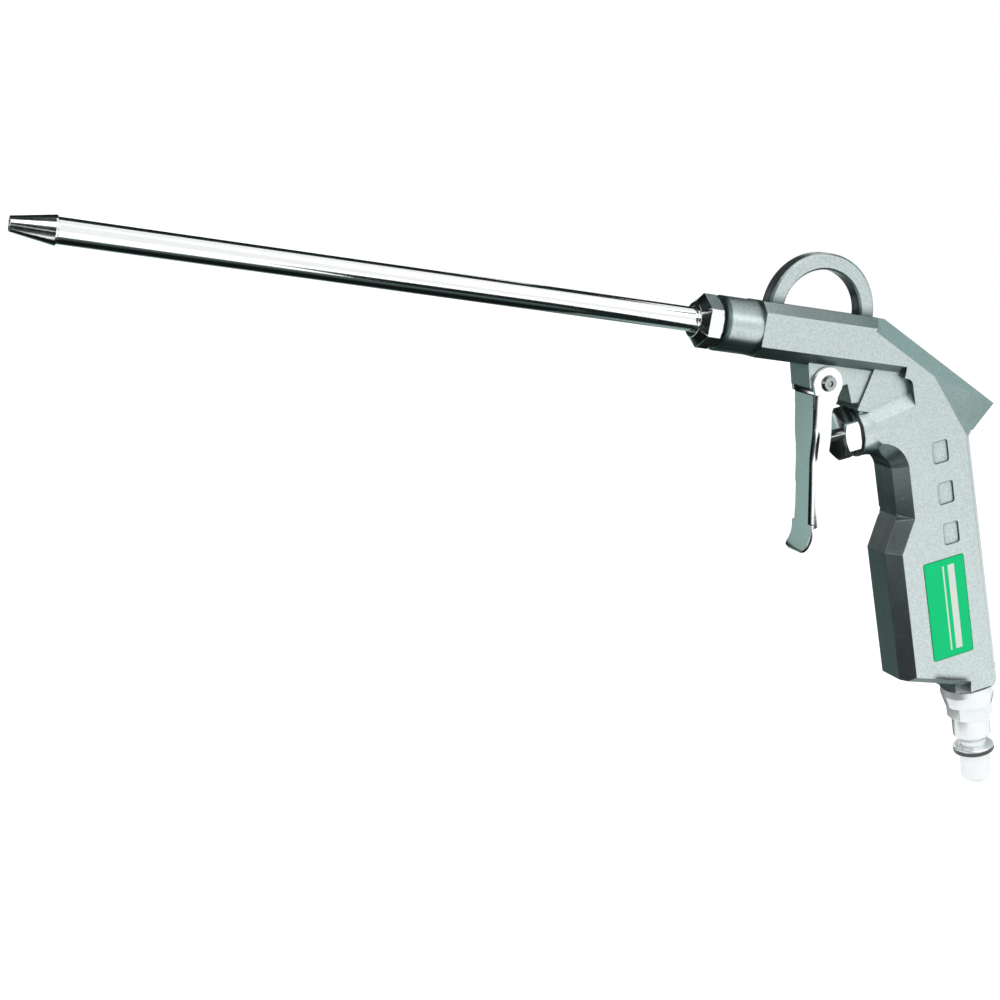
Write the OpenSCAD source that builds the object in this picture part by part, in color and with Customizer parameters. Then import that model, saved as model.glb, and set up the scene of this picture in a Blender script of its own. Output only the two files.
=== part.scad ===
// Air blow gun with a long nozzle, a cast body, a lever trigger and a quick plug.
// Millimetres. The origin is the centre of the nozzle's outlet, +X runs back
// along the barrel, +Z is up, and the labelled side of the grip faces -Y.

/* [Nozzle] */
// Length of the nozzle from its outlet to the front face of the barrel
nozzle_reach = 224; // [90:1:320]
// Outside diameter of the nozzle tube
tube_d = 8; // [7:0.5:9]
// Wall of the nozzle tube
tube_wall = 1; // [0.7:0.1:1.5]
// Length of the tapered tip
tip_l = 13; // [10:1:20]
// Outside diameter of the tip at its outlet
tip_front_d = 4.6; // [4:0.2:6]
// Outside diameter of the tip where it meets the tube
tip_rear_d = 9; // [8.6:0.2:10]
// Length of the tip's spigot inside the tube
spigot_in_l = 6; // [4:0.5:8]
// Diameter of the air outlet
outlet_d = 2.6; // [1.6:0.2:3]
// Diameter of the brazed ferrule on the tube's rear end
ferrule_d = 10.8; // [10.2:0.1:11.4]
// Length of the brazed ferrule
ferrule_l = 4; // [3:0.5:6]

/* [Nozzle nut] */
// Width across flats of the nozzle nut
nut_af = 15.5; // [15:0.5:17]
// Length of the nut's hexagon
nut_hex_l = 4.8; // [3:0.2:7]
// Length of the nut's conical nose
nut_cone_l = 2.6; // [2:0.2:5]
// Diameter of the conical nose at its front
nut_nose_d = 11.5; // [11:0.5:13]
// Length of the nut's screwed shank
nut_shank_l = 8; // [6:0.5:12]
// Thickness of the sealing ring under the nut
nut_ring_t = 0.8; // [0.5:0.1:1.5]
// Thickness of the sealing washer at the bottom of the socket
nozzle_washer_t = 1.6; // [1:0.2:3]

/* [Barrel] */
// Diameter of the round front of the barrel
barrel_d = 18.2; // [16.6:0.2:18.2]
// Length of the round front of the barrel
collar_l = 13.4; // [8:0.2:16]
// Height of the flat-sided barrel
barrel_h = 18.4; // [18.4:0.2:19.4]
// Width of the casting across its flat sides
body_w = 18.5; // [18.2:0.1:20]
// Diameter of the screwed socket for the nozzle nut
socket_d = 12; // [11.6:0.1:12.4]
// Diameter of the air bore in the barrel
barrel_bore_d = 6; // [4:0.5:7]
// Distance from the barrel's front face to the knee where the top slopes down
knee_x = 60.5; // [58:0.5:64]

/* [Hanging loop] */
// Outer radius of the hanging loop
loop_r = 20; // [16:0.2:21]
// Radial thickness of the hanging loop
loop_t = 5.4; // [4:0.2:6.6]
// Width of the hanging loop across the gun
loop_w = 6.2; // [4:0.2:7]
// Distance from the barrel's front face to the middle of the loop
loop_x = 37.2; // [36:0.1:38]

/* [Grip] */
// Rake of the grip from square to the barrel
grip_rake = 20; // [16:0.5:22]
// Where the grip's air bore meets the axis of the barrel, from the front face
grip_axis_x = 84.2; // [84:0.1:86]
// Depth of the grip behind its air bore, at its foot
grip_back = 8.6; // [8.2:0.1:10]
// Depth of the upper grip in front of its air bore
grip_front = 23.8; // [23:0.2:26]
// How far the lower grip stands forward of the upper grip
heel_step = 6.5; // [3:0.1:8]
// Depth of the grip's flat bottom below the axis of the barrel
grip_bottom = 114.3; // [106:0.1:130]
// How far the spur behind the hand stands out of the back of the grip
spur_out = 11.4; // [9:0.2:14]
// Depth of the inlet block in front of the grip's air bore
block_front = 8.8; // [8.6:0.1:11]
// How far the inlet block drops below the grip's foot, along the bore
block_drop = 0.6; // [0.4:0.1:8]

/* [Valve] */
// Depth of the valve's axis below the barrel's axis, along the grip
valve_drop = 19.1; // [18.6:0.1:20]
// Diameter of the round valve boss
boss_d = 18.3; // [17.6:0.1:18.3]
// How far the valve boss stands forward of the upper grip
boss_out = 10.6; // [9:0.2:11]
// Diameter of the screwed bore for the valve gland
gland_bore_d = 12.7; // [12.3:0.1:13.2]
// Width across flats of the valve gland
gland_af = 16; // [15:0.2:16.4]
// Length of the gland's hexagon
gland_hex_l = 5.8; // [4:0.2:7]
// Length of the gland inside the casting
gland_l = 18.4; // [17:0.2:20]
// Diameter of the valve stem
stem_d = 4; // [3.4:0.1:4.4]
// Diameter of the rubber valve disc
disc_d = 9.6; // [8.8:0.1:10.2]
// Thickness of the rubber valve disc
disc_t = 2.2; // [1.6:0.1:3]
// Wire diameter of the valve spring
spring_wire_d = 0.8; // [0.6:0.05:1]
// Turns of the valve spring
spring_turns = 6; // [4:1:8]

/* [Trigger] */
// Distance from the barrel's front face to the trigger's pivot
pivot_x = 41.6; // [40:0.1:42]
// Depth of the trigger's pivot below the axis of the barrel
pivot_drop = 14.3; // [14:0.1:15]
// Diameter of the pivot pin
pin_d = 4; // [3:0.1:4.6]
// Lean of the released trigger from square to the barrel
trigger_lean = 10.4; // [9:0.1:12]
// Length of the trigger from its pivot to its tip
trigger_l = 58; // [50:0.5:70]
// Thickness of the trigger's sheet
sheet_t = 1.3; // [1:0.1:1.5]
// Width of the trigger across its ears
ear_w = 15.8; // [15.6:0.1:17]
// Width of the trigger where the fingers pull
lever_w = 12.8; // [11:0.1:14]
// Depth of the trigger's side flanges
flange_h = 6.2; // [5:0.1:6.6]

/* [Quick plug] */
// Diameter of the plug's flange
plug_flange_d = 19; // [17.6:0.2:20]
// Width across flats of the plug's hexagon
plug_af = 14; // [13.6:0.1:15]
// Diameter of the plug's round shank below the hexagon
plug_shank_d = 13.3; // [12.6:0.1:13.4]
// Diameter of the plug's locking neck
plug_neck_d = 9.7; // [9:0.1:10.2]
// Diameter of the plug's locking ring
plug_ring_d = 14.6; // [13.6:0.1:15.6]
// Diameter of the plug's nose
plug_nose_d = 10.8; // [10.4:0.1:12]
// Length of the plug's nose
plug_nose_l = 10; // [6:0.5:14]
// Diameter of the air bore through the plug
plug_bore_d = 7; // [4:0.5:7.4]
// Diameter of the screwed inlet socket
inlet_socket_d = 13; // [12.6:0.1:13.4]

/* [Label and marks] */
// Width of the label
label_w = 16.4; // [10:0.2:20]
// Height of the label
label_h = 36.4; // [20:0.2:40]
// Thickness of the label
label_t = 0.15; // [0.1:0.05:0.3]
// Depth of the three plain marks above the label
mark_depth = 0.5; // [0.3:0.1:1]

/* [Hidden] */
$fn = 64;

// Shared clearances: one overrun for cuts, a screwed or slid fit, a contact gap,
// a gap between flat parts that rub, and how deep a joined shape is rooted
cut_over = 1;
fit_gap = 0.05;
touch_gap = 0.02;
side_gap = 0.4;
root_l = 3;

// Points of the side view are [x, z], with x from the barrel's front face.
// A place in the grip is given along its depth and up its axis.
function from_grip(depth, up) = [
    grip_axis_x + depth * cos(grip_rake) - up * sin(grip_rake),
    depth * sin(grip_rake) + up * cos(grip_rake),
];
// How far up the grip's axis the level z lies at a depth
function up_at_level(depth, z) = (z - depth * sin(grip_rake)) / cos(grip_rake);
// Points round the arc that rounds corner b between a and c
function rounded(a, b, c, r, steps = 6) =
    let (
        p = (a - b) / norm(a - b),
        q = (c - b) / norm(c - b),
        half = acos(p * q) / 2,
        mid = (p + q) / norm(p + q),
        centre = b + mid * r / sin(half),
        from = b + p * r / tan(half) - centre,
        to = b + q * r / tan(half) - centre,
        start = atan2(from[1], from[0]),
        turn = atan2(from[0] * to[1] - from[1] * to[0], from * to)
    )
    [for (i = [0:steps]) centre + r * [cos(start + turn * i / steps), sin(start + turn * i / steps)]];
// Points of a circle's arc in the side view
function arc(centre, r, start, end, steps) =
    [for (i = [0:steps]) centre + r * [cos(start + (end - start) * i / steps),
                                       sin(start + (end - start) * i / steps)]];

// Casting: places in the side view
barrel_r = barrel_h / 2;
front_depth = -grip_front;
heel_depth = front_depth - heel_step;
boss_depth = front_depth - boss_out;
throat_depth = -14;
step_top_up = -51.8;
step_low_up = -63.3;
back_taper = 1.1;
spur_up = -22.1;
spur_foot_up = -28.4;
knee = [knee_x, barrel_r];
spur_tip = from_grip(grip_back + spur_out, spur_up);
spur_foot = from_grip(grip_back - back_taper, spur_foot_up);
block_face_up = up_at_level(0, -grip_bottom) - block_drop;
base_depth = -block_front / 2;
back_bottom = from_grip(grip_back, block_face_up);
block_bottom = from_grip(base_depth, block_face_up);
base_back = from_grip(base_depth, up_at_level(base_depth, -grip_bottom));
heel_bottom = from_grip(heel_depth, up_at_level(heel_depth, -grip_bottom));
heel_top = from_grip(heel_depth, step_low_up);
step_top = from_grip(front_depth, step_top_up);
boss_root = from_grip(front_depth, -valve_drop);
throat_root = from_grip(throat_depth, -valve_drop);
throat_top = from_grip(throat_depth, up_at_level(throat_depth, -barrel_r));
throat_round = 3;
foot_round = 4.5;
foot_steps = 4;

// Casting: bevels, each with its depth on the side face and across the gun
top_bevel = [3.4, 3.75];
slope_bevel = [6.3, 4.75];
under_bevel = [3.9, 3.75];
front_bevel = [4.8, 3.75];
back_bevel = [3, 3];
base_bevel = [2, 2];
barrel_edge = 0.4;
spur_bevel = [16.8, 4.75];
spur_bevel_turn = -46.6;

// Casting: web and lug between the barrel and the valve boss
loop_sink = 1.4;
web_w = 13.8;
lug_w = 12.4;
lug_ahead = 7.9;
lug_below = 2.5;
lug_front = pivot_x - lug_ahead;
lug_lean = 2.2;
lug_low = pivot_drop + lug_below;
lug_r = 4.2;
lug_turns = [230, 340];
lug_steps = 10;
web_lead = 2;
web_front_depth = boss_depth - web_lead;
web_front_up = -8;
web_step_x = 59;
web_step_lean = 14;
fillet_r = 7;
flare_r = 9;
shoulder_front_up = -11.6;
shoulder_back_up = -8.4;
shoulder_bevel = [5, 3];

// Casting: bores
socket_l = nut_shank_l + ferrule_l + nozzle_washer_t - nut_ring_t;
chamber_d = 11;
chamber_past_l = 3;
chamber_l = boss_out + grip_front + chamber_past_l;
passage_d = 4.4;
passage_at = 9.9;
inlet_bore_d = 8;
inlet_socket_l = 12;
passage_depth = boss_depth + passage_at;
barrel_bore_end = from_grip(passage_depth, up_at_level(passage_depth, 0))[0] + passage_d / 2;

// Marks and label on the seen side of the grip
mark_size = [6, 8];
mark_round = 1;
mark_first = [-6.2, -32.2];
mark_pitch = [0.4, -14.8];
mark_count = 3;
label_off_middle = 1.05;
label_below_step = 6.9;
label_depth = (heel_depth + grip_back) / 2 + label_off_middle;
label_up = step_low_up - label_below_step - label_h / 2;
label_round = 0.8;

// Trigger: places from the pivot, along the released lever
wall_x = -4.7;
ear_r = 5.4;
wall_top = -4.1;
widen_end = -18.5;
narrow_start = -25;
taper_start = -24;
taper_end_x = -0.9;
taper_end = -48.7;
curl_r = 10;
curl_turn = 50;
curl_steps = 10;
curl_start = -(trigger_l - curl_r * sin(curl_turn));
flange_back = wall_x + flange_h;
neck_drop = 9.6;
neck_turn = 35;
notch_w = 1;
notch_l = 4;
ear_inner = ear_w / 2 - sheet_t;
lever_inner = lever_w / 2 - sheet_t;

// Turned corners of the hexagons, as a depth and a height
nut_turning = [0.9, 0.6];
gland_turning = [1.2, 0.8];

// Valve: lengths along its axis, from the boss's front face back into the casting
gland_washer_t = 0.8;
gland_groove_w = 6.2;
gland_groove_d = 9.8;
gland_bore_l = gland_l + side_gap;
guide_l = 6;
cavity_d = 7.6;
cross_hole_d = 2.6;
cross_hole_count = 4;
seal_wire_d = 1.6;
gland_land_l = 3.2;
gland_seal_at = gland_l - gland_land_l;
stem_seal_at = -2.6;
stem_shoulder_d = 6;
stem_shoulder_l = 1.2;
tail_d = 2.6;
disc_nut_d = 8.6;
disc_nut_t = 1.4;
spigot_d = 5.2;
spigot_l = 1.8;
spring_d = 7.4;
spring_sides = 8;
spring_steps = 12;
disc_at = gland_l + touch_gap;
disc_nut_at = disc_at + disc_t;
spring_at = disc_nut_at + disc_nut_t + touch_gap;
trigger_reach = let (
        boss_face = from_grip(boss_depth, -valve_drop) - [pivot_x, -pivot_drop],
        facing = [cos(trigger_lean), sin(trigger_lean)]
    ) (boss_face * facing - wall_x - sheet_t) / cos(grip_rake - trigger_lean);
stem_dome_at = trigger_reach - (stem_d / 2 + side_gap / 4) / cos(grip_rake - trigger_lean);

// Pivot pin: lengths across the gun
head_d = 5.6;
head_t = 1.2;
clip_t = 0.8;
clip_d = 7.4;
clip_slot_w = 2.4;
pin_groove_d = 3.2;
pin_end_l = 1;
rub_gap = 0.1;

// Quick plug: lengths down from the collar's face
inlet_washer_t = 0.6;
inlet_washer_d = 16;
plug_rim_l = 2.6;
plug_flange_l = 4.8;
plug_hex_l = 5;
plug_shank_l = 7.2;
plug_cone_l = 1.9;
plug_neck_l = 2.2;
plug_ring_l = 3.4;
plug_edge = 1;
plug_screw_l = 10;

// Places and frames
module at_barrel() {
    translate([nozzle_reach, 0, 0]) children();
}

module along_barrel() {
    at_barrel() rotate([0, 90, 0]) children();
}

module in_grip() {
    at_barrel() translate([grip_axis_x, 0, 0]) rotate([0, -grip_rake, 0]) children();
}

module along_valve() {
    in_grip() translate([boss_depth, 0, -valve_drop]) rotate([0, 90, 0]) children();
}

module along_plug() {
    in_grip() translate([0, 0, block_face_up]) rotate([180, 0, 0]) children();
}

module in_trigger() {
    at_barrel() translate([pivot_x, 0, -pivot_drop]) rotate([0, -trigger_lean, 0]) children();
}

// A side-view outline as a plate across the gun
module plate(width) {
    rotate([90, 0, 0]) linear_extrude(width, center = true) children();
}

// A tube or a ring from z = 0 upwards
module ring(outer_d, inner_d, length) {
    difference() {
        cylinder(d = outer_d, h = length);
        translate([0, 0, -cut_over]) cylinder(d = inner_d, h = length + 2 * cut_over);
    }
}

// A hexagonal bar whose corners are turned down at either end; a turning is given
// as its depth at the corner and its height
module hexagon(flats, length, low = [0, 0], high = [0, 0]) {
    corner_r = flats / sqrt(3);
    wide_r = corner_r + cut_over;
    low_h = low[0] > 0 ? low[1] * (1 + cut_over / low[0]) : 0;
    high_h = high[0] > 0 ? high[1] * (1 + cut_over / high[0]) : 0;
    intersection() {
        cylinder(r = corner_r, h = length, $fn = 6);
        rotate_extrude() polygon(concat(
            [[0, 0]],
            low[0] > 0 ? [[corner_r - low[0], 0]] : [],
            [[wide_r, low_h], [wide_r, length - high_h]],
            high[0] > 0 ? [[corner_r - high[0], length]] : [],
            [[0, length]]
        ));
    }
}

// The wedge that bevels the edge from p to q on both sides of the casting
module bevel_cut(p, q, bevel, before = 0, after = 0) {
    run = q - p;
    low = [body_w / 2, -bevel[0]];
    high = [body_w / 2 - bevel[1], 0];
    out = (high - low) / 2;
    far_low = low - out;
    far_high = high + out;
    for (side = [0, 1]) mirror([0, side, 0])
        translate([p[0], 0, p[1]])
            rotate([0, -atan2(run[1], run[0]), 0])
                translate([-before, 0, 0])
                    rotate([90, 0, 90])
                        linear_extrude(norm(run) + before + after)
                            polygon([far_low, far_high, [far_low[0], far_high[1]]]);
}

// The flat-sided body: barrel, knee, spur and grip in one outline
module body_plate() {
    foot_arc = rounded(spur_tip, spur_foot, back_bottom, foot_round, foot_steps);
    outline = concat(
        [[collar_l, barrel_r], knee, spur_tip],
        foot_arc,
        [back_bottom, block_bottom, base_back, heel_bottom, heel_top, step_top, boss_root],
        [throat_root],
        rounded(throat_root, throat_top, [collar_l, -barrel_r], throat_round),
        [[collar_l, -barrel_r]]
    );
    spur_line = [cos(spur_bevel_turn), sin(spur_bevel_turn)];
    spur_run = spur_bevel[0] + spur_out;
    foot_lap = back_bevel[0] / 8;
    step_turn = tan(atan2(heel_step, step_top_up - step_low_up) / 2);
    difference() {
        plate(body_w) polygon(outline);
        bevel_cut([collar_l, barrel_r], knee, top_bevel, cut_over, root_l);
        bevel_cut(knee, spur_tip, slope_bevel, root_l, root_l);
        bevel_cut(spur_tip - spur_line * spur_run, spur_tip + spur_line * spur_run, spur_bevel);
        for (i = [1:foot_steps])
            bevel_cut(foot_arc[i - 1], foot_arc[i], back_bevel * i / foot_steps, foot_lap, foot_lap);
        bevel_cut(foot_arc[foot_steps], back_bottom, back_bevel, foot_lap, cut_over);
        bevel_cut(base_back, heel_bottom, base_bevel, 0, cut_over);
        bevel_cut(heel_bottom, heel_top, front_bevel, cut_over, 0);
        bevel_cut(heel_top, step_top, front_bevel, 0, front_bevel[0] * step_turn);
        bevel_cut(step_top, boss_root, front_bevel, front_bevel[0] * step_turn, 0);
        bevel_cut([throat_top[0] - throat_round, -barrel_r], [collar_l, -barrel_r],
            under_bevel, 0, cut_over);
    }
}

// The thin web behind the trigger and the lug that carries its pivot
module web_and_lug() {
    pivot = [pivot_x, -pivot_drop];
    step_high = [web_step_x, -barrel_r + root_l];
    step_low_z = -valve_drop - root_l;
    step_low = [web_step_x - (step_high[1] - step_low_z) * tan(web_step_lean), step_low_z];
    front_top = [from_grip(web_front_depth, web_front_up)[0] - root_l, -lug_low + root_l];
    plate(lug_w) polygon(concat(
        [[lug_front, -barrel_r + root_l], [lug_front, -barrel_r], [lug_front + lug_lean, -lug_low]],
        arc(pivot, lug_r, lug_turns[0], lug_turns[1], lug_steps),
        [
            front_top,
            from_grip(web_front_depth, web_front_up),
            from_grip(boss_depth + side_gap, web_front_up - side_gap),
            from_grip(boss_depth + side_gap, -valve_drop),
            from_grip(throat_depth, -valve_drop),
            [throat_top[0], -barrel_r + root_l],
        ]
    ));
    plate(web_w) polygon([
        step_high,
        step_low,
        from_grip(throat_depth, -valve_drop),
        [throat_top[0] + root_l, -barrel_r + root_l],
    ]);
}

// The half ring on top of the barrel
module hanging_loop() {
    ring_bevel = loop_t / 8;
    inner = loop_r - loop_t;
    sink = asin(root_l / loop_r);
    translate([loop_x, 0, barrel_r - loop_sink]) rotate([90, 0, 0]) rotate([0, 0, -sink])
        rotate_extrude(angle = 180 + 2 * sink) polygon([
            [inner, -loop_w / 2 + ring_bevel],
            [inner + ring_bevel, -loop_w / 2],
            [loop_r - ring_bevel, -loop_w / 2],
            [loop_r, -loop_w / 2 + ring_bevel],
            [loop_r, loop_w / 2 - ring_bevel],
            [loop_r - ring_bevel, loop_w / 2],
            [inner + ring_bevel, loop_w / 2],
            [inner, loop_w / 2 - ring_bevel],
        ]);
}

// The root of the valve boss, which flares into the sides and the front of the grip
module boss_root_block() {
    boss_r = boss_d / 2;
    face = front_depth - boss_depth;
    fillet_at = [front_depth - fillet_r + fit_gap, -valve_drop - boss_r - fillet_r];
    fillet_centre = from_grip(fillet_at[0], fillet_at[1]);
    top_front = from_grip(boss_depth + cut_over, shoulder_front_up);
    top_back = from_grip(throat_depth + root_l, shoulder_back_up);
    intersection() {
        along_valve() {
            rotate_extrude() difference() {
                translate([0, face - flare_r]) square([boss_r + flare_r, flare_r]);
                translate([boss_r + flare_r, face - flare_r]) circle(r = flare_r);
            }
            translate([0, 0, face]) cylinder(r = boss_r + flare_r, h = grip_front);
        }
        at_barrel() difference() {
            plate(body_w) polygon([
                top_front,
                top_back,
                from_grip(throat_depth + root_l, -valve_drop),
                from_grip(front_depth + front_bevel[0] + root_l, -valve_drop),
                from_grip(front_depth + front_bevel[0] + root_l, fillet_at[1]),
                fillet_centre,
                from_grip(boss_depth + cut_over, fillet_at[1]),
            ]);
            bevel_cut(top_front, top_back, shoulder_bevel, cut_over, cut_over);
            translate([fillet_centre[0], 0, fillet_centre[1]]) rotate([90, 0, 0]) {
                cylinder(r = fillet_r, h = body_w + 2 * cut_over, center = true);
                for (side = [0, 1]) mirror([0, 0, side])
                    translate([0, 0, body_w / 2 - front_bevel[1]]) cylinder(
                        r1 = fillet_r,
                        r2 = fillet_r + 2 * front_bevel[0],
                        h = 2 * front_bevel[1]
                    );
            }
        }
    }
}

module body_bores() {
    // Nozzle socket and the air bore behind it
    along_barrel() {
        translate([0, 0, -cut_over]) cylinder(d = socket_d, h = socket_l + cut_over);
        cylinder(d = barrel_bore_d, h = barrel_bore_end);
    }
    // Valve bore, chamber and the passage up to the barrel's bore
    along_valve() {
        translate([0, 0, -cut_over]) cylinder(d = gland_bore_d, h = gland_bore_l + cut_over);
        cylinder(d = chamber_d, h = chamber_l);
    }
    in_grip() translate([passage_depth, 0, -valve_drop])
        cylinder(d = passage_d, h = valve_drop + up_at_level(passage_depth, 0));
    // Inlet socket and the air bore up the grip
    along_plug() {
        translate([0, 0, -inlet_socket_l]) cylinder(d = inlet_socket_d, h = inlet_socket_l + cut_over);
        translate([0, 0, -(-block_face_up - valve_drop)])
            cylinder(d = inlet_bore_d, h = -block_face_up - valve_drop);
    }
    // Pivot pin hole through the lug
    at_barrel() translate([pivot_x, 0, -pivot_drop]) rotate([90, 0, 0])
        cylinder(d = pin_d, h = web_w + 2 * cut_over, center = true);
}

// The block under the grip that takes the plug
module inlet_block() {
    half = body_w / 2;
    in_grip() translate([0, 0, block_face_up]) linear_extrude(block_drop + 2 * root_l) polygon([
        [-block_front, back_bevel[1] - half],
        [front_bevel[0] - block_front, -half],
        [grip_back - back_bevel[0], -half],
        [grip_back, back_bevel[1] - half],
        [grip_back, half - back_bevel[1]],
        [grip_back - back_bevel[0], half],
        [front_bevel[0] - block_front, half],
        [-block_front, half - back_bevel[1]],
    ]);
}

// Three plain recesses in the seen side
module grip_marks() {
    for (i = [0:mark_count - 1]) {
        place = mark_first + i * mark_pitch;
        in_grip() translate([place[0], -body_w / 2, place[1]]) rotate([90, 0, 0])
            translate([0, 0, -mark_depth]) linear_extrude(mark_depth + cut_over)
                rounded_rectangle(mark_size, mark_round);
    }
}

module rounded_rectangle(size, round_r) {
    square([size[0] - 2 * round_r, size[1]], center = true);
    square([size[0], size[1] - 2 * round_r], center = true);
    for (i = [-1, 1], j = [-1, 1])
        translate([i * (size[0] / 2 - round_r), j * (size[1] / 2 - round_r)]) circle(r = round_r);
}

module body_casting() {
    color([0.78, 0.82, 0.82]) difference() {
        union() {
            at_barrel() {
                body_plate();
                web_and_lug();
                hanging_loop();
            }
            along_barrel() {
                cylinder(d1 = barrel_d - 2 * barrel_edge, d2 = barrel_d, h = barrel_edge);
                translate([0, 0, barrel_edge])
                    cylinder(d = barrel_d, h = collar_l - barrel_edge + root_l / 3);
            }
            along_valve() cylinder(d = boss_d, h = throat_depth - boss_depth + root_l);
            boss_root_block();
            inlet_block();
        }
        body_bores();
        grip_marks();
    }
}

module nozzle_tube() {
    back = nozzle_reach + nut_shank_l - nut_ring_t + ferrule_l;
    color([0.86, 0.88, 0.88]) translate([tip_l, 0, 0]) rotate([0, 90, 0])
        ring(tube_d, tube_d - 2 * tube_wall, back - tip_l);
}

module nozzle_tip() {
    color([0.8, 0.82, 0.82]) rotate([0, 90, 0]) difference() {
        union() {
            cylinder(d1 = tip_front_d, d2 = tip_rear_d, h = tip_l);
            translate([0, 0, tip_l - root_l])
                cylinder(d = tube_d - 2 * tube_wall - 2 * fit_gap, h = root_l + spigot_in_l);
        }
        translate([0, 0, -cut_over]) cylinder(d = outlet_d, h = tip_l + spigot_in_l + 2 * cut_over);
    }
}

module tube_ferrule() {
    color([0.78, 0.62, 0.3]) along_barrel() translate([0, 0, nut_shank_l - nut_ring_t])
        ring(ferrule_d, tube_d + 2 * touch_gap, ferrule_l);
}

module nozzle_nut() {
    corner_r = nut_af / sqrt(3);
    color([0.86, 0.88, 0.88]) along_barrel() translate([0, 0, -nut_ring_t]) difference() {
        union() {
            translate([0, 0, -nut_hex_l - nut_cone_l]) hexagon(
                nut_af,
                nut_hex_l + nut_cone_l,
                [corner_r - nut_nose_d / 2, nut_cone_l],
                nut_turning
            );
            cylinder(d = socket_d - 2 * fit_gap, h = nut_shank_l);
        }
        translate([0, 0, -nut_hex_l - nut_cone_l - cut_over])
            cylinder(d = tube_d + 2 * fit_gap, h = nut_hex_l + nut_cone_l + nut_shank_l + 2 * cut_over);
    }
}

module nut_ring() {
    color([0.08, 0.08, 0.08]) along_barrel() translate([0, 0, -nut_ring_t])
        ring(nut_af, socket_d, nut_ring_t);
}

module nozzle_washer() {
    color([0.1, 0.1, 0.1]) along_barrel() translate([0, 0, socket_l - nozzle_washer_t])
        ring(socket_d - 2 * fit_gap, barrel_bore_d, nozzle_washer_t);
}

// The pressed channel: its front view meets its side view
module channel(ear_half, lever_half, low) {
    intersection() {
        rotate([0, 90, 0]) translate([0, 0, -2 * ear_r]) linear_extrude(4 * ear_r) polygon([
            [-ear_r - cut_over, -ear_half], [-widen_end, -ear_half],
            [-narrow_start, -lever_half], [-low, -lever_half],
            [-low, lever_half], [-narrow_start, lever_half],
            [-widen_end, ear_half], [-ear_r - cut_over, ear_half],
        ]);
        plate(2 * ear_half + cut_over) {
            circle(r = ear_r);
            polygon([
                [0, 0], [-ear_r, 0], [wall_x, wall_top], [wall_x, low],
                [taper_end_x, taper_end], [flange_back, taper_start], [flange_back, -neck_drop],
                ear_r * [cos(neck_turn), -sin(neck_turn)],
            ]);
        }
    }
}

module trigger_lever() {
    curl_centre = [wall_x - curl_r + sheet_t, curl_start];
    color([0.86, 0.88, 0.88]) in_trigger() difference() {
        union() {
            // Channel with its two ears
            difference() {
                channel(ear_w / 2, lever_w / 2, curl_start);
                channel_hollow();
            }
            // Tip curled forward
            plate(lever_w) polygon(concat(
                [[wall_x, curl_start + root_l], [wall_x + sheet_t, curl_start + root_l]],
                arc(curl_centre, curl_r, 0, -curl_turn, curl_steps),
                arc(curl_centre, curl_r - sheet_t, -curl_turn, 0, curl_steps)
            ));
        }
        rotate([90, 0, 0]) cylinder(d = pin_d + 2 * fit_gap, h = ear_w + 2 * cut_over, center = true);
        // Relief slots beside the two bends
        for (side = [0, 1]) mirror([0, side, 0])
            translate([wall_x - cut_over, ear_inner - notch_w, wall_top - notch_l])
                cube([sheet_t + 2 * cut_over, notch_w, notch_l + cut_over]);
    }
}

// The space between the flanges, open at the top and at the back
module channel_hollow() {
    rotate([0, 90, 0]) translate([0, 0, wall_x + sheet_t]) linear_extrude(flange_h + 2 * ear_r) polygon([
        [-ear_r - cut_over, -ear_inner], [-widen_end, -ear_inner],
        [-narrow_start, -lever_inner], [-curl_start + cut_over, -lever_inner],
        [-curl_start + cut_over, lever_inner], [-narrow_start, lever_inner],
        [-widen_end, ear_inner], [-ear_r - cut_over, ear_inner],
    ]);
    translate([-2 * ear_r, -ear_inner, wall_top]) cube([4 * ear_r, 2 * ear_inner, 3 * ear_r]);
}

module pivot_pin() {
    head_y = -ear_w / 2 - rub_gap;
    end_y = ear_w / 2 + rub_gap + clip_t + pin_end_l;
    color([0.8, 0.82, 0.82]) at_barrel()
        translate([pivot_x, 0, -pivot_drop]) rotate([-90, 0, 0]) difference() {
        union() {
            translate([0, 0, head_y]) cylinder(d = pin_d, h = end_y - head_y);
            translate([0, 0, head_y - head_t]) cylinder(d1 = head_d - head_t, d2 = head_d, h = head_t);
        }
        translate([0, 0, ear_w / 2 + rub_gap]) difference() {
            cylinder(d = pin_d + cut_over, h = clip_t);
            cylinder(d = pin_groove_d, h = clip_t);
        }
        translate([0, 0, head_y - head_t - cut_over]) cylinder(d = pin_d / 2, h = cut_over + head_t / 2);
    }
}

module pin_clip() {
    clip_y = ear_w / 2 + rub_gap + touch_gap;
    color([0.3, 0.32, 0.33]) at_barrel()
        translate([pivot_x, clip_y, -pivot_drop]) rotate([-90, 0, 0]) difference() {
            cylinder(d = clip_d, h = clip_t - 2 * touch_gap);
            translate([0, 0, -cut_over])
                cylinder(d = pin_groove_d + 2 * touch_gap, h = clip_t + 2 * cut_over);
            translate([-clip_slot_w / 2, 0, -cut_over])
                cube([clip_slot_w, clip_d, clip_t + 2 * cut_over]);
        }
}

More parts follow.
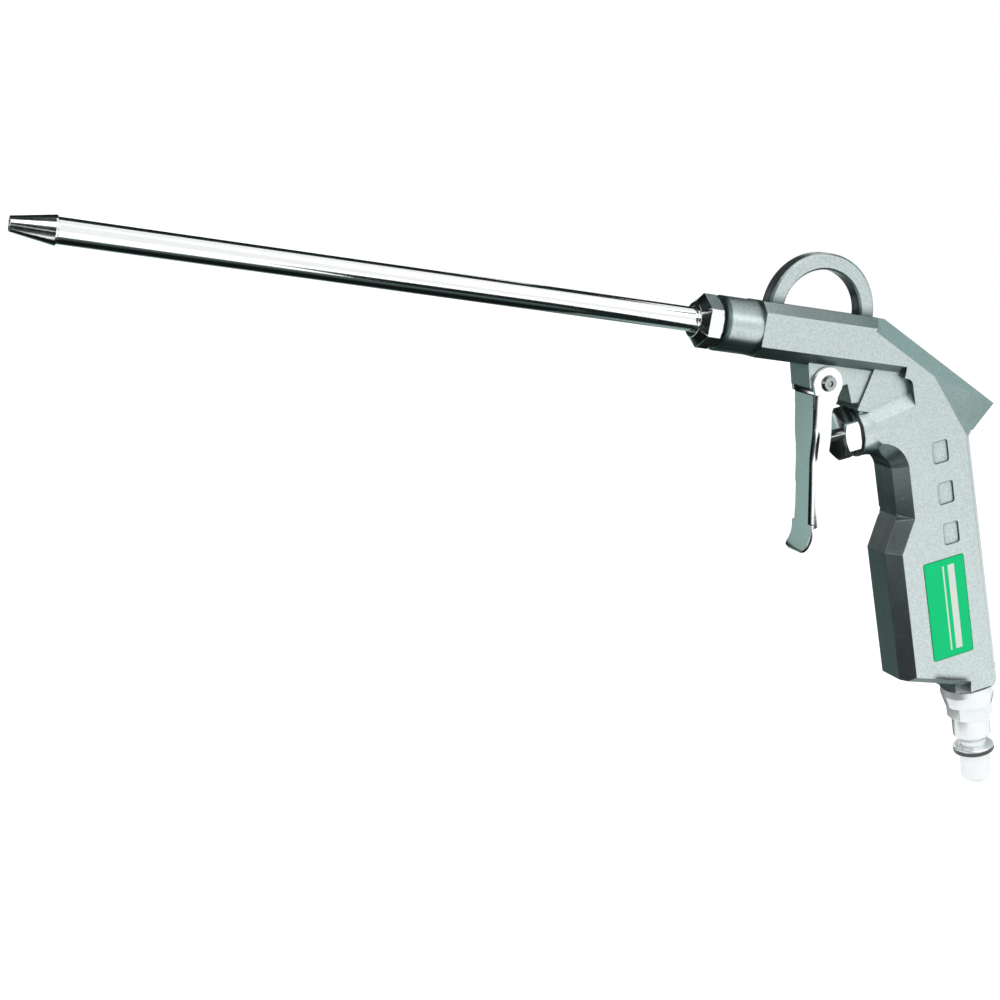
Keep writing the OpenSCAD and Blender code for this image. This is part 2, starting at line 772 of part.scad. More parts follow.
module valve_gland() {
    hex_at = -gland_hex_l - gland_washer_t;
    color([0.85, 0.87, 0.87]) along_valve() difference() {
        union() {
            translate([0, 0, hex_at]) hexagon(gland_af, gland_hex_l, gland_turning, nut_turning);
            translate([0, 0, -gland_washer_t])
                cylinder(d = gland_bore_d - 2 * fit_gap, h = gland_l + gland_washer_t);
        }
        // Air groove round the outside and the holes that feed it
        translate([0, 0, passage_at - gland_groove_w / 2])
            ring(gland_bore_d + cut_over, gland_groove_d, gland_groove_w);
        for (i = [0:cross_hole_count - 1]) rotate([0, 0, i * 360 / cross_hole_count])
            translate([0, 0, passage_at]) rotate([0, 90, 0]) cylinder(d = cross_hole_d, h = gland_bore_d);
        // Outer seal's groove
        translate([0, 0, gland_seal_at]) ring(gland_bore_d + cut_over,
            gland_bore_d - 2 * seal_wire_d - 4 * touch_gap, seal_wire_d + 2 * touch_gap);
        // Guide bore, stem seal's groove and the cavity behind
        translate([0, 0, hex_at - cut_over])
            cylinder(d = stem_d + 2 * fit_gap, h = gland_hex_l + gland_washer_t + guide_l + 2 * cut_over);
        translate([0, 0, stem_seal_at])
            cylinder(d = stem_d + 2 * seal_wire_d + 4 * touch_gap, h = seal_wire_d + 2 * touch_gap);
        translate([0, 0, guide_l]) cylinder(d = cavity_d, h = gland_l);
    }
}

module gland_washer() {
    color([0.75, 0.55, 0.35]) along_valve() translate([0, 0, -gland_washer_t])
        ring(gland_af - side_gap, gland_bore_d, gland_washer_t);
}

// A round-section seal ring whose hole has the given diameter
module seal(inner_d) {
    rotate_extrude() translate([inner_d / 2 + seal_wire_d / 2, 0]) circle(d = seal_wire_d);
}

module gland_o_ring() {
    color([0.1, 0.1, 0.1]) along_valve() translate([0, 0, gland_seal_at + seal_wire_d / 2 + touch_gap])
        seal(gland_bore_d - 2 * seal_wire_d - 2 * touch_gap);
}

module stem_o_ring() {
    color([0.1, 0.1, 0.1]) along_valve() translate([0, 0, stem_seal_at + seal_wire_d / 2 + touch_gap])
        seal(stem_d + 2 * touch_gap);
}

module valve_stem() {
    color([0.82, 0.7, 0.4]) along_valve() {
        translate([0, 0, -stem_dome_at]) sphere(d = stem_d);
        translate([0, 0, -stem_dome_at]) cylinder(d = stem_d, h = stem_dome_at + gland_l);
        translate([0, 0, gland_l - stem_shoulder_l]) cylinder(d = stem_shoulder_d, h = stem_shoulder_l);
        cylinder(d = tail_d, h = disc_nut_at + disc_nut_t + spigot_l + touch_gap);
    }
}

module valve_disc() {
    color([0.12, 0.12, 0.12]) along_valve() translate([0, 0, disc_at])
        ring(disc_d, tail_d + 2 * touch_gap, disc_t);
}

module disc_nut() {
    color([0.8, 0.65, 0.35]) along_valve() translate([0, 0, disc_nut_at + touch_gap / 2]) difference() {
        union() {
            cylinder(d = disc_nut_d, h = disc_nut_t);
            cylinder(d = spigot_d, h = disc_nut_t + spigot_l);
        }
        translate([0, 0, -cut_over])
            cylinder(d = tail_d + 2 * touch_gap, h = disc_nut_t + spigot_l + 2 * cut_over);
    }
}

// One wire wound as a helix between the disc nut and the chamber's floor
module valve_spring() {
    wire_r = spring_wire_d / 2;
    coil_r = (spring_d - spring_wire_d) / 2;
    from = spring_at + wire_r + touch_gap;
    to = chamber_l - wire_r - touch_gap;
    rings = spring_turns * spring_steps;
    lead = atan2(to - from, 2 * PI * coil_r * spring_turns);
    points = [for (i = [0:rings], j = [0:spring_sides - 1])
        let (
            a = 360 * i / spring_steps,
            b = 360 * j / spring_sides,
            out = wire_r * cos(b),
            rise = wire_r * sin(b)
        )
        [
            (coil_r + out) * cos(a) + rise * sin(lead) * sin(a),
            (coil_r + out) * sin(a) - rise * sin(lead) * cos(a),
            from + (to - from) * i / rings + rise * cos(lead),
        ]
    ];
    sides = [for (i = [0:rings - 1], j = [0:spring_sides - 1], k = [0, 1])
        let (
            p = i * spring_sides + j,
            q = i * spring_sides + (j + 1) % spring_sides
        )
        k == 0 ? [p, q, q + spring_sides] : [p, q + spring_sides, p + spring_sides]
    ];
    first = [for (j = [1:spring_sides - 2]) [0, j + 1, j]];
    last = [for (j = [1:spring_sides - 2]) [0, j, j + 1] + rings * spring_sides * [1, 1, 1]];
    color([0.7, 0.72, 0.74]) along_valve() polyhedron(points, concat(sides, first, last));
}

module inlet_plug() {
    flange_at = inlet_washer_t;
    cone_top = flange_at + plug_rim_l;
    hex_at = cone_top + plug_flange_l;
    shank_at = hex_at + plug_hex_l;
    cone_at = shank_at + plug_shank_l;
    neck_at = cone_at + plug_cone_l;
    ring_at = neck_at + plug_neck_l;
    nose_at = ring_at + plug_ring_l;
    end = nose_at + plug_nose_l;
    hex_d = 2 * plug_af / sqrt(3);
    color([0.9, 0.92, 0.93]) along_plug() difference() {
        union() {
            translate([0, 0, -plug_screw_l])
                cylinder(d = inlet_socket_d - 2 * fit_gap, h = plug_screw_l + flange_at);
            translate([0, 0, flange_at]) cylinder(d = plug_flange_d, h = plug_rim_l);
            translate([0, 0, cone_top])
                cylinder(d1 = plug_flange_d, d2 = hex_d + side_gap, h = plug_flange_l);
            translate([0, 0, hex_at]) rotate([0, 0, 30])
                hexagon(plug_af, plug_hex_l, high = nut_turning);
            rotate_extrude() polygon([
                [0, 0],
                [plug_neck_d / 2, 0],
                [plug_neck_d / 2, hex_at],
                [plug_shank_d / 2, hex_at],
                [plug_shank_d / 2, cone_at],
                [plug_neck_d / 2, neck_at],
                [plug_neck_d / 2, ring_at],
                [plug_ring_d / 2 - plug_edge / 2, ring_at],
                [plug_ring_d / 2, ring_at + plug_edge / 2],
                [plug_ring_d / 2, nose_at - plug_edge],
                [plug_nose_d / 2, nose_at],
                [plug_nose_d / 2, end - plug_edge],
                [plug_nose_d / 2 - plug_edge, end],
                [0, end],
            ]);
        }
        translate([0, 0, -plug_screw_l - cut_over])
            cylinder(d = plug_bore_d, h = plug_screw_l + end + 2 * cut_over);
    }
}

module inlet_washer() {
    color([0.15, 0.15, 0.15]) along_plug() ring(inlet_washer_d, inlet_socket_d, inlet_washer_t);
}

module grip_label() {
    color([0.2, 0.8, 0.56]) in_grip()
        translate([label_depth, -body_w / 2, label_up]) rotate([90, 0, 0])
            linear_extrude(label_t) rounded_rectangle([label_w, label_h], label_round);
}

body_casting();
nozzle_tube();
nozzle_tip();
tube_ferrule();
nozzle_nut();
nut_ring();
nozzle_washer();
trigger_lever();
pivot_pin();
pin_clip();
valve_gland();
gland_washer();
gland_o_ring();
stem_o_ring();
valve_stem();
valve_disc();
disc_nut();
valve_spring();
inlet_plug();
inlet_washer();
grip_label();
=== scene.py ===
"""Looks of an air blow gun: a chrome nozzle on a die-cast body with a lever trigger.

The model's frame has x back along the barrel from the nozzle's outlet, z up and the
labelled side of the grip towards -y. Sizes of the pieces are in millimetres, and meshes,
lamps and the camera are in metres.
"""

import logging
import math
from dataclasses import dataclass
from enum import Enum
from typing import Callable, Optional, Protocol, Sequence, Union

import bpy
import numpy as np
from mathutils import Matrix, Vector


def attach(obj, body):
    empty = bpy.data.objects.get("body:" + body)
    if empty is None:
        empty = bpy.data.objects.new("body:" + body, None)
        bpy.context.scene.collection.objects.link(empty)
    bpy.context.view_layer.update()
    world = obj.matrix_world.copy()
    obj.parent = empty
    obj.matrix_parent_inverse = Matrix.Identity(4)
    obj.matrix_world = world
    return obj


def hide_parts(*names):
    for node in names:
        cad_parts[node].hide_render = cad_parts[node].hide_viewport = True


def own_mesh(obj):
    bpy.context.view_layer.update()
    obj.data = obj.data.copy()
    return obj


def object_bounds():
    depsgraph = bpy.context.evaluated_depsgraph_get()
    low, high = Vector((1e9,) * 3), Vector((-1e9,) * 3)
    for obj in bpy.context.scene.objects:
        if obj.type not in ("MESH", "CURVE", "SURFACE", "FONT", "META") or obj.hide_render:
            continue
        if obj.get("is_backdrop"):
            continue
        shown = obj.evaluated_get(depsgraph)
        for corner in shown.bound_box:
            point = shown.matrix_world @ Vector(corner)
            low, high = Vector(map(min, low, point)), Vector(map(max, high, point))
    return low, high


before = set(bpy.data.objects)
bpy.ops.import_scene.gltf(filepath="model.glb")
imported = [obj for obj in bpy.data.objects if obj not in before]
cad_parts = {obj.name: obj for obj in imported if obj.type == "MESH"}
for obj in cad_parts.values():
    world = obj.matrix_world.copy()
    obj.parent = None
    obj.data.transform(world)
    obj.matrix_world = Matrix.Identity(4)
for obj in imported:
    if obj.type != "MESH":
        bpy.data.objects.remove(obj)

LOG = logging.getLogger("air_blow_gun")
MM = 0.001
CORNER_SHARE = 0.42
RAY_SAMPLES = 6
WIDE_ROUND, NARROW_ROUND, HOLE_ROUND = 128, 96, 64
SHARP_EDGE = math.radians(40)
Pair = tuple[float, float]
Triple = tuple[float, float, float]
Colour = Point = Triple
Piece = bpy.types.Object
Socket = bpy.types.NodeSocket


# --- places


@dataclass(frozen=True)
class Axis:
    """A line that a turned piece is built on, in millimetres.

    Attributes:
        start: the point of station 0.
        along: unit vector of growing stations.
        side: unit vector of angle 0, square to along.
    """

    start: Point
    along: Point
    side: Point

    @property
    def offset(self) -> float:
        """How far station 0 lies from the origin, measured along the line."""
        return float(np.dot(self.start, self.along))

    def place(self, station: np.ndarray, radius: np.ndarray, angle: np.ndarray) -> np.ndarray:
        """Points start + station * along + radius * (cos(angle) * side + sin(angle) * across).

        Args:
            station: distances along the axis.
            radius: distances from the axis.
            angle: turns about the axis in radians.

        Returns:
            An array with one more dimension of 3 than its arguments.
        """
        along, side = np.array(self.along), np.array(self.side)
        across = np.cross(along, side)
        out = np.cos(angle)[..., None] * side + np.sin(angle)[..., None] * across
        return np.array(self.start) + station[..., None] * along + radius[..., None] * out


@dataclass(frozen=True)
class Layout:
    """Places that the pieces share, in millimetres and degrees."""

    nozzle_reach: float = 224.0
    grip_axis_x: float = 84.2
    grip_rake: float = 20.0
    boss_depth: float = -34.4
    valve_drop: float = 19.1
    block_face_up: float = -122.236
    label_place: Pair = (-9.8, -88.4)

    @property
    def depth_way(self) -> Point:
        """Unit vector through the grip, from its front to its back."""
        rake = math.radians(self.grip_rake)
        return (math.cos(rake), 0.0, math.sin(rake))

    @property
    def up_way(self) -> Point:
        """Unit vector up the grip's air bore."""
        rake = math.radians(self.grip_rake)
        return (-math.sin(rake), 0.0, math.cos(rake))

    def in_grip(self, depth: float, up: float) -> Point:
        """The point at a depth and a height of the grip's own frame."""
        (dx, _, dz), (ux, _, uz) = self.depth_way, self.up_way
        x = self.nozzle_reach + self.grip_axis_x + depth * dx + up * ux
        return (x, 0.0, depth * dz + up * uz)

    @property
    def nozzle(self) -> Axis:
        """The nozzle's axis, from the outlet back into the barrel."""
        return Axis((0.0, 0.0, 0.0), (1.0, 0.0, 0.0), (0.0, 0.0, 1.0))

    @property
    def valve(self) -> Axis:
        """The valve's axis, from the boss's front face back into the casting."""
        return Axis(self.in_grip(self.boss_depth, -self.valve_drop), self.depth_way, self.up_way)

    @property
    def plug(self) -> Axis:
        """The plug's axis, from the inlet block's face downwards."""
        down = tuple(-value for value in self.up_way)
        return Axis(self.in_grip(0.0, self.block_face_up), down, self.depth_way)


LAYOUT = Layout()


# --- surfaces


def eased(corners: Sequence[Pair], edge: float, steps: int = 4) -> np.ndarray:
    """A closed outline whose corners are rounded.

    Each corner b between a and c becomes the quadratic curve
    (1 - t)^2 * A + 2 * t * (1 - t) * b + t^2 * C, where A and C lie the distance edge from b
    towards a and c, or CORNER_SHARE of the way if that is shorter.

    Args:
        corners: corners as (station, radius).
        edge: how much of each side a corner takes, in millimetres.
        steps: how many pieces each curve has.

    Returns:
        The points in an array of shape (n, 2).
    """
    b = np.array(corners, float)
    before, after = np.roll(b, 1, axis=0) - b, np.roll(b, -1, axis=0) - b
    far_before = np.linalg.norm(before, axis=1, keepdims=True)
    far_after = np.linalg.norm(after, axis=1, keepdims=True)
    start = b + before / far_before * np.minimum(edge, CORNER_SHARE * far_before)
    end = b + after / far_after * np.minimum(edge, CORNER_SHARE * far_after)
    t = np.linspace(0, 1, steps + 1)[None, :, None]
    curves = (1 - t) ** 2 * start[:, None] + 2 * t * (1 - t) * b[:, None] + t**2 * end[:, None]
    return curves.reshape(-1, 2)


@dataclass(frozen=True)
class Hexagon:
    """The outline of a hexagonal bar with softened corners.

    Attributes:
        flats: width across flats in millimetres.
        turn: angle of the first flat in radians.
        sharpness: the power p of the formula; a larger one gives sharper corners.
        crowding: the power that crowds the angles near the corners.
    """

    flats: float
    turn: float = 0.0
    sharpness: float = 90.0
    crowding: float = 1.7

    @property
    def corner(self) -> float:
        """Radius at the corners: flats / sqrt(3)."""
        return self.flats / math.sqrt(3)

    def radius(self, angle: np.ndarray) -> np.ndarray:
        """Radius flats / 2 * (sum over six flats of max(0, cos(angle - flat))^p)^(-1 / p)."""
        flats = self.turn + np.arange(6) * math.pi / 3
        facing = np.maximum(np.cos(angle[..., None] - flats), 0.0) ** self.sharpness
        return self.flats / 2 * facing.sum(axis=-1) ** (-1 / self.sharpness)

    def angles(self, steps: int = 18) -> np.ndarray:
        """Angles round the bar: corner + sign(t) * |t|^crowding * 30 degrees."""
        t = np.linspace(-1, 1, 2 * steps, endpoint=False)
        near = np.sign(t) * np.abs(t) ** self.crowding * math.pi / 6
        corners = self.turn + math.pi / 6 + np.arange(6) * math.pi / 3
        return (corners[:, None] + near).ravel()


def linked(name: str, data: bpy.types.ID) -> Piece:
    """A new object with the given mesh, lamp or camera data, in the scene."""
    made = bpy.data.objects.new(name, data)
    bpy.context.scene.collection.objects.link(made)
    return made


def make_solid(name: str, points: np.ndarray, wrap_rows: bool = False) -> Piece:
    """A closed mesh from a grid of points whose columns join up.

    Quads join each point (i, j) to (i + 1, j), (i + 1, j + 1) and (i, j + 1). If the rows
    don't join up too, the first and last row are each closed by one face. The faces are
    turned round if the volume that they enclose comes out negative.

    Args:
        name: the piece's name.
        points: array of shape (rows, columns, 3) in millimetres.
        wrap_rows: whether the last row joins the first.

    Returns:
        The linked object, at the origin.
    """
    rows, columns, _ = points.shape
    index = np.arange(rows * columns).reshape(rows, columns)
    below = np.roll(index, -1, axis=0) if wrap_rows else index[1:]
    above = index if wrap_rows else index[:-1]
    quads = np.stack([above, below, np.roll(below, -1, axis=1), np.roll(above, -1, axis=1)], -1)
    quads = quads.reshape(-1, 4)
    flat = points.reshape(-1, 3)
    a, b, c, d = (flat[quads[:, k]] for k in range(4))
    volume = np.einsum("ij,ij->", a, np.cross(b, c)) + np.einsum("ij,ij->", a, np.cross(c, d))
    faces = quads.tolist()
    if not wrap_rows:
        for end in (index[0], index[-1][::-1]):
            fan = flat[end]
            middle = fan[1:-1]
            volume += np.einsum("ij,ij->", np.broadcast_to(fan[0], middle.shape),
                                np.cross(middle, fan[2:]))
            faces.append(end.tolist())
    if volume < 0:
        faces = [face[::-1] for face in faces]
    mesh = bpy.data.meshes.new(name)
    mesh.from_pydata((flat * MM).tolist(), [], faces)
    mesh.polygons.foreach_set("use_smooth", np.ones(len(mesh.polygons), bool))
    mesh.update()
    return linked(name, mesh)


def even_normals(made: Piece, sharp: Optional[float] = None) -> Piece:
    """Shades a piece's flat faces flat and its rounds smooth.

    Args:
        made: the piece.
        sharp: the angle in radians from which an edge stays sharp; none stays by default.

    Returns:
        The same piece.
    """
    if sharp is not None:
        made.data.set_sharp_from_angle(angle=sharp)
    even = made.modifiers.new("even_normals", "WEIGHTED_NORMAL")
    even.weight = 100
    even.keep_sharp = sharp is not None
    return made


def combine(piece: Piece, other: Piece, operation: str) -> None:
    """Replaces a solid's mesh by its union, difference or overlap with another solid.

    Args:
        piece: the solid that is kept.
        other: the solid that is used up.
        operation: UNION, DIFFERENCE or INTERSECT.
    """
    step = piece.modifiers.new("combine", "BOOLEAN")
    step.operation, step.solver, step.object = operation, "EXACT", other
    seen = piece.evaluated_get(bpy.context.evaluated_depsgraph_get())
    mesh = bpy.data.meshes.new_from_object(seen)
    piece.modifiers.remove(step)
    old, piece.data = piece.data, mesh
    bpy.data.meshes.remove(old)
    used = other.data
    bpy.data.objects.remove(other)
    bpy.data.meshes.remove(used)


# --- shader maths

Number = Union["Value", float]
Setting = Union[str, float, int, bool, Sequence[float], "Value"]


def operator(operation: str, swapped: bool = False) -> Callable[["Value", Number], "Value"]:
    """A method of Value that adds a Math node, with its two terms swapped if asked."""
    def method(value: "Value", other: Number) -> "Value":
        """The Math node's output."""
        return value.math(operation, *((other, value) if swapped else (value, other)))
    return method


class Value:
    """A number or vector that varies over a surface; operators on it add Math nodes.

    most is the larger of two values.
    """

    def __init__(self, nodes: "Nodes", socket: Socket) -> None:
        """Wraps an output socket of a node tree."""
        self.nodes = nodes
        self.socket = socket

    def math(self, operation: str, *terms: Number, clamp: bool = False) -> "Value":
        """A Math node's output."""
        node = self.nodes.node("ShaderNodeMath", {"operation": operation, "use_clamp": clamp},
                               dict(enumerate(terms)))
        return Value(self.nodes, node.outputs[0])

    __add__ = __radd__ = operator("ADD")
    __mul__ = __rmul__ = operator("MULTIPLY")
    __sub__, __rsub__ = operator("SUBTRACT"), operator("SUBTRACT", swapped=True)
    most = operator("MAXIMUM")

    def __abs__(self) -> "Value":
        """This value without its sign."""
        return self.math("ABSOLUTE", self)

    def clamped(self) -> "Value":
        """This value held between 0 and 1."""
        return self.math("ADD", self, 0.0, clamp=True)

    def ramp(self, low: float, high: float, first: float = 0.0, last: float = 1.0) -> "Value":
        """A smooth step from first to last while this value goes from low to high."""
        node = self.nodes.node("ShaderNodeMapRange", {"interpolation_type": "SMOOTHSTEP"}, {
            "Value": self, "From Min": low, "From Max": high, "To Min": first, "To Max": last})
        return Value(self.nodes, node.outputs[0])


class Nodes:
    """A node tree that Python expressions fill."""

    def __init__(self, tree: bpy.types.NodeTree) -> None:
        """Wraps the tree."""
        self.tree = tree

    def node(self, kind: str, settings: Optional[dict[str, Setting]] = None,
             inputs: Optional[dict[Union[str, int], Setting]] = None) -> bpy.types.Node:
        """Adds a node.

        Args:
            kind: the node's type.
            settings: its properties, set first.
            inputs: a value or a link for each named or numbered socket.

        Returns:
            The new node.
        """
        made = self.tree.nodes.new(kind)
        for key, setting in (settings or {}).items():
            setattr(made, key, setting)
        for key, setting in (inputs or {}).items():
            self.feed(made.inputs[key], setting)
        return made

    def feed(self, socket: Socket, setting: Setting) -> None:
        """Links or sets one input socket."""
        if isinstance(setting, Value):
            self.tree.links.new(setting.socket, socket)
        elif socket.type == "RGBA" and len(setting) == 3:
            socket.default_value = (*setting, 1.0)
        else:
            socket.default_value = setting

    def seen_rays(self) -> Value:
        """1 for rays that show in the picture or in a reflection, and 0 for lighting ones."""
        path = self.node("ShaderNodeLightPath")
        camera, glossy, clear = (Value(self, path.outputs[f"Is {kind} Ray"])
                                 for kind in ("Camera", "Glossy", "Transmission"))
        return camera.most(glossy).most(clear)


class Shader(Nodes):
    """A material's node tree with a Principled surface."""

    def __init__(self, name: str) -> None:
        """Starts a material of the given name."""
        self.material = bpy.data.materials.new(name)
        self.material.use_nodes = True
        super().__init__(self.material.node_tree)
        self.surface = self.tree.nodes["Principled BSDF"]
        self._place: Optional[bpy.types.Node] = None

    @property
    def place(self) -> Value:
        """The Object coordinates, in metres."""
        if self._place is None:
            self._place = self.node("ShaderNodeTexCoord")
        return Value(self, self._place.outputs["Object"])

    @property
    def flat(self) -> Value:
        """The face's own normal."""
        return Value(self, self.node("ShaderNodeNewGeometry").outputs["Normal"])

    def axes(self, vector: Value) -> tuple[Value, Value, Value]:
        """The three components of a vector."""
        parts = self.node("ShaderNodeSeparateXYZ", None, {0: vector})
        return tuple(Value(self, output) for output in parts.outputs)

    def vector(self, operation: str, *terms: Setting, output: int = 0) -> Value:
        """A Vector Math node's vector output, or its number with output=1."""
        node = self.node("ShaderNodeVectorMath", {"operation": operation}, dict(enumerate(terms)))
        return Value(self, node.outputs[output])

    def scaled(self, direction: Point, size: Value) -> Value:
        """A constant vector times a varying number."""
        node = self.node("ShaderNodeVectorMath", {"operation": "SCALE"},
                         {0: direction, "Scale": size})
        return Value(self, node.outputs[0])

    def noise(self, size: float, detail: float = 2.0, rough: float = 0.5,
              along: Optional[Value] = None) -> Value:
        """Noise between 0 and 1.

        Args:
            size: the size of a feature, in metres.
            detail: how many finer layers it has.
            rough: how strong the finer layers are.
            along: a number that it varies with instead of the Object coordinates.

        Returns:
            The noise.
        """
        shape, place = ("3D", {"Vector": self.place}) if along is None else ("1D", {"W": along})
        node = self.node("ShaderNodeTexNoise", {"noise_dimensions": shape}, {
            **place, "Scale": 1.0 / size, "Detail": detail, "Roughness": rough})
        return Value(self, node.outputs[0])

    def blend(self, factor: Number, first: Setting, second: Setting) -> Value:
        """A colour that goes from first to second as factor goes from 0 to 1."""
        node = self.node("ShaderNodeMix", {"data_type": "RGBA"}, {0: factor, 6: first, 7: second})
        return Value(self, node.outputs[2])

    def round_edges(self, radius: float) -> Value:
        """A normal that rounds the edges by a radius in metres."""
        node = self.node("ShaderNodeBevel", {"samples": RAY_SAMPLES}, {"Radius": radius})
        return Value(self, node.outputs[0])

    def bump(self, height: Value, distance: float, strength: float,
             normal: Optional[Value] = None) -> Value:
        """A normal tilted by a height field."""
        inputs = {"Height": height, "Distance": distance, "Strength": strength}
        if normal is not None:
            inputs["Normal"] = normal
        return Value(self, self.node("ShaderNodeBump", None, inputs).outputs[0])

    def recess(self, reach: float) -> Value:
        """How shut in a place is by its own piece: 0 in the open, towards 1 in a groove."""
        node = self.node("ShaderNodeAmbientOcclusion",
                         {"samples": RAY_SAMPLES, "only_local": True}, {"Distance": reach})
        return 1.0 - Value(self, node.outputs["AO"])

    def edge_mask(self, rounded: Value, gain: float) -> Value:
        """Where the rounded normal leaves the flat one: clamp(gain * (1 - their product))."""
        return ((1.0 - self.vector("DOT_PRODUCT", rounded, self.flat, output=1)) * gain).clamped()

    def finish(self, **sockets: Setting) -> bpy.types.Material:
        """Feeds the Principled surface's sockets, named with _ for a space."""
        for key, setting in sockets.items():
            self.feed(self.surface.inputs[key.replace("_", " ")], setting)
        return self.material


class Finish(Protocol):
    """Anything that makes a material."""

    def material(self, name: str) -> bpy.types.Material:
        """The material, under the given name."""


@dataclass(frozen=True)
class PaintedShade:
    """Painted shade that sets in while some measure of a place goes from one value to another.

    Attributes:
        shade_start: the measure where the painted shade starts.
        shade_full: the measure where it is full.
        strength: its share where it is full.
        reach: how far round a place a recess is felt, in metres.
    """

    shade_start: float
    shade_full: float
    strength: float = 0.85
    reach: float = 0.003

    def over(self, measure: Value) -> Value:
        """The painted shade's share for a measure."""
        return measure.ramp(self.shade_start, self.shade_full) * self.strength

    def in_recess(self, s: Shader) -> Value:
        """The painted shade's share by how shut in a place is."""
        return self.over(s.recess(self.reach))


def tinted(colour: Colour, share: float) -> Colour:
    """A colour times a number, held at 1."""
    return tuple(min(value * share, 1.0) for value in colour)


@dataclass(frozen=True)
class DieCast:
    """Shot-blasted zinc or aluminium casting with a parting line in its middle plane.

    Sizes are in metres, and heights has the shares of fine grain, coarse grain, pits and
    parting line in the bump. Painted shade darkens grooves and corners, faces that look down or
    ahead and the barrel's mouth, there by the millimetres from the barrel's front.
    """

    colour: Colour = (0.535, 0.612, 0.607)
    worn: Colour = (0.80, 0.87, 0.86)
    # The colour of the painted shade.
    shade_tint: Colour = (0.10, 0.15, 0.148)
    shades: Pair = (0.82, 1.14)
    roughness: float = 0.33
    metallic: float = 0.94
    edge: float = 0.00045
    grain: float = 0.00035
    patch: float = 0.009
    pit: float = 0.0016
    wear: float = 0.003
    line_half: float = 0.00016
    heights: tuple[float, float, float, float] = (0.5, 0.5, 0.7, 1.3)
    relief: float = 0.00007
    # Painted shade in grooves and corners, on faces that look down or ahead, and at the barrel's
    # mouth.
    groove: PaintedShade = PaintedShade(0.08, 0.35, 0.85, reach=0.0012)
    corner: PaintedShade = PaintedShade(0.06, 0.33, 0.9, reach=0.004)
    below: PaintedShade = PaintedShade(0.35, 0.55, 0.92)
    front: PaintedShade = PaintedShade(0.42, 0.56, 0.53)
    mouth: PaintedShade = PaintedShade(2.0, 1.1, 0.95)

    def material(self, name: str) -> bpy.types.Material:
        """Grain, pits and parting line as bump; mottling, worn edges and painted shade in colour.
        """
        s = Shader(name)
        fine = s.noise(self.grain, 3.0, 0.65)
        coarse = s.noise(self.grain * 4)
        mottle = s.noise(self.patch, 3.0, 0.6)
        pits = s.noise(self.pit, 1.0, 0.4).ramp(0.30, 0.22)
        along, across, _ = s.axes(s.place)
        seam = abs(across).ramp(self.line_half, self.line_half * 0.4)
        rounded = s.round_edges(self.edge)
        worn = s.edge_mask(rounded, 5.0) * s.noise(self.wear, 2.0, 0.6).ramp(0.3, 0.7)
        fine_h, coarse_h, pit_h, seam_h = self.heights
        height = fine * fine_h + coarse * coarse_h - pits * pit_h + seam * seam_h
        speckle = s.noise(self.grain * 2, 1.0, 0.6)
        tone = (mottle - 0.5) * 0.4 + 0.5 + (speckle - 0.5) * 1.7 - pits * 0.3
        dark, light = (tinted(self.colour, share) for share in self.shades)
        colour = s.blend(worn * 0.7, s.blend(tone.clamped(), dark, light), self.worn)
        ahead, _, above = s.axes(s.flat)
        behind_mouth = along * (1 / MM) - LAYOUT.nozzle_reach
        # Painted shade darkens recesses, faces that look down or ahead and the barrel's mouth.
        painted_shade = self.corner.in_recess(s).most(self.groove.in_recess(s))
        painted_shade = painted_shade.most(self.below.over(0.0 - above)).most(self.front.over(0.0 - ahead))
        colour = s.blend(painted_shade.most(self.mouth.over(behind_mouth)), colour, self.shade_tint)
        rough = self.roughness + (mottle - 0.5) * 0.12 + (fine - 0.5) * 0.10 - worn * 0.08
        return s.finish(
            Base_Color=colour,
            Metallic=self.metallic,
            Roughness=rough,
            Normal=s.bump(height, self.relief, 0.6, rounded),
        )


class Lay(Enum):
    """Which way the fine marks of a metal piece run, as the unit vector across them."""

    NONE = (0.0, 0.0, 1.0)
    NOZZLE = LAYOUT.nozzle.along
    PLUG = LAYOUT.plug.along
    VALVE = LAYOUT.valve.along
    TRIGGER = (0.0, 1.0, 0.0)


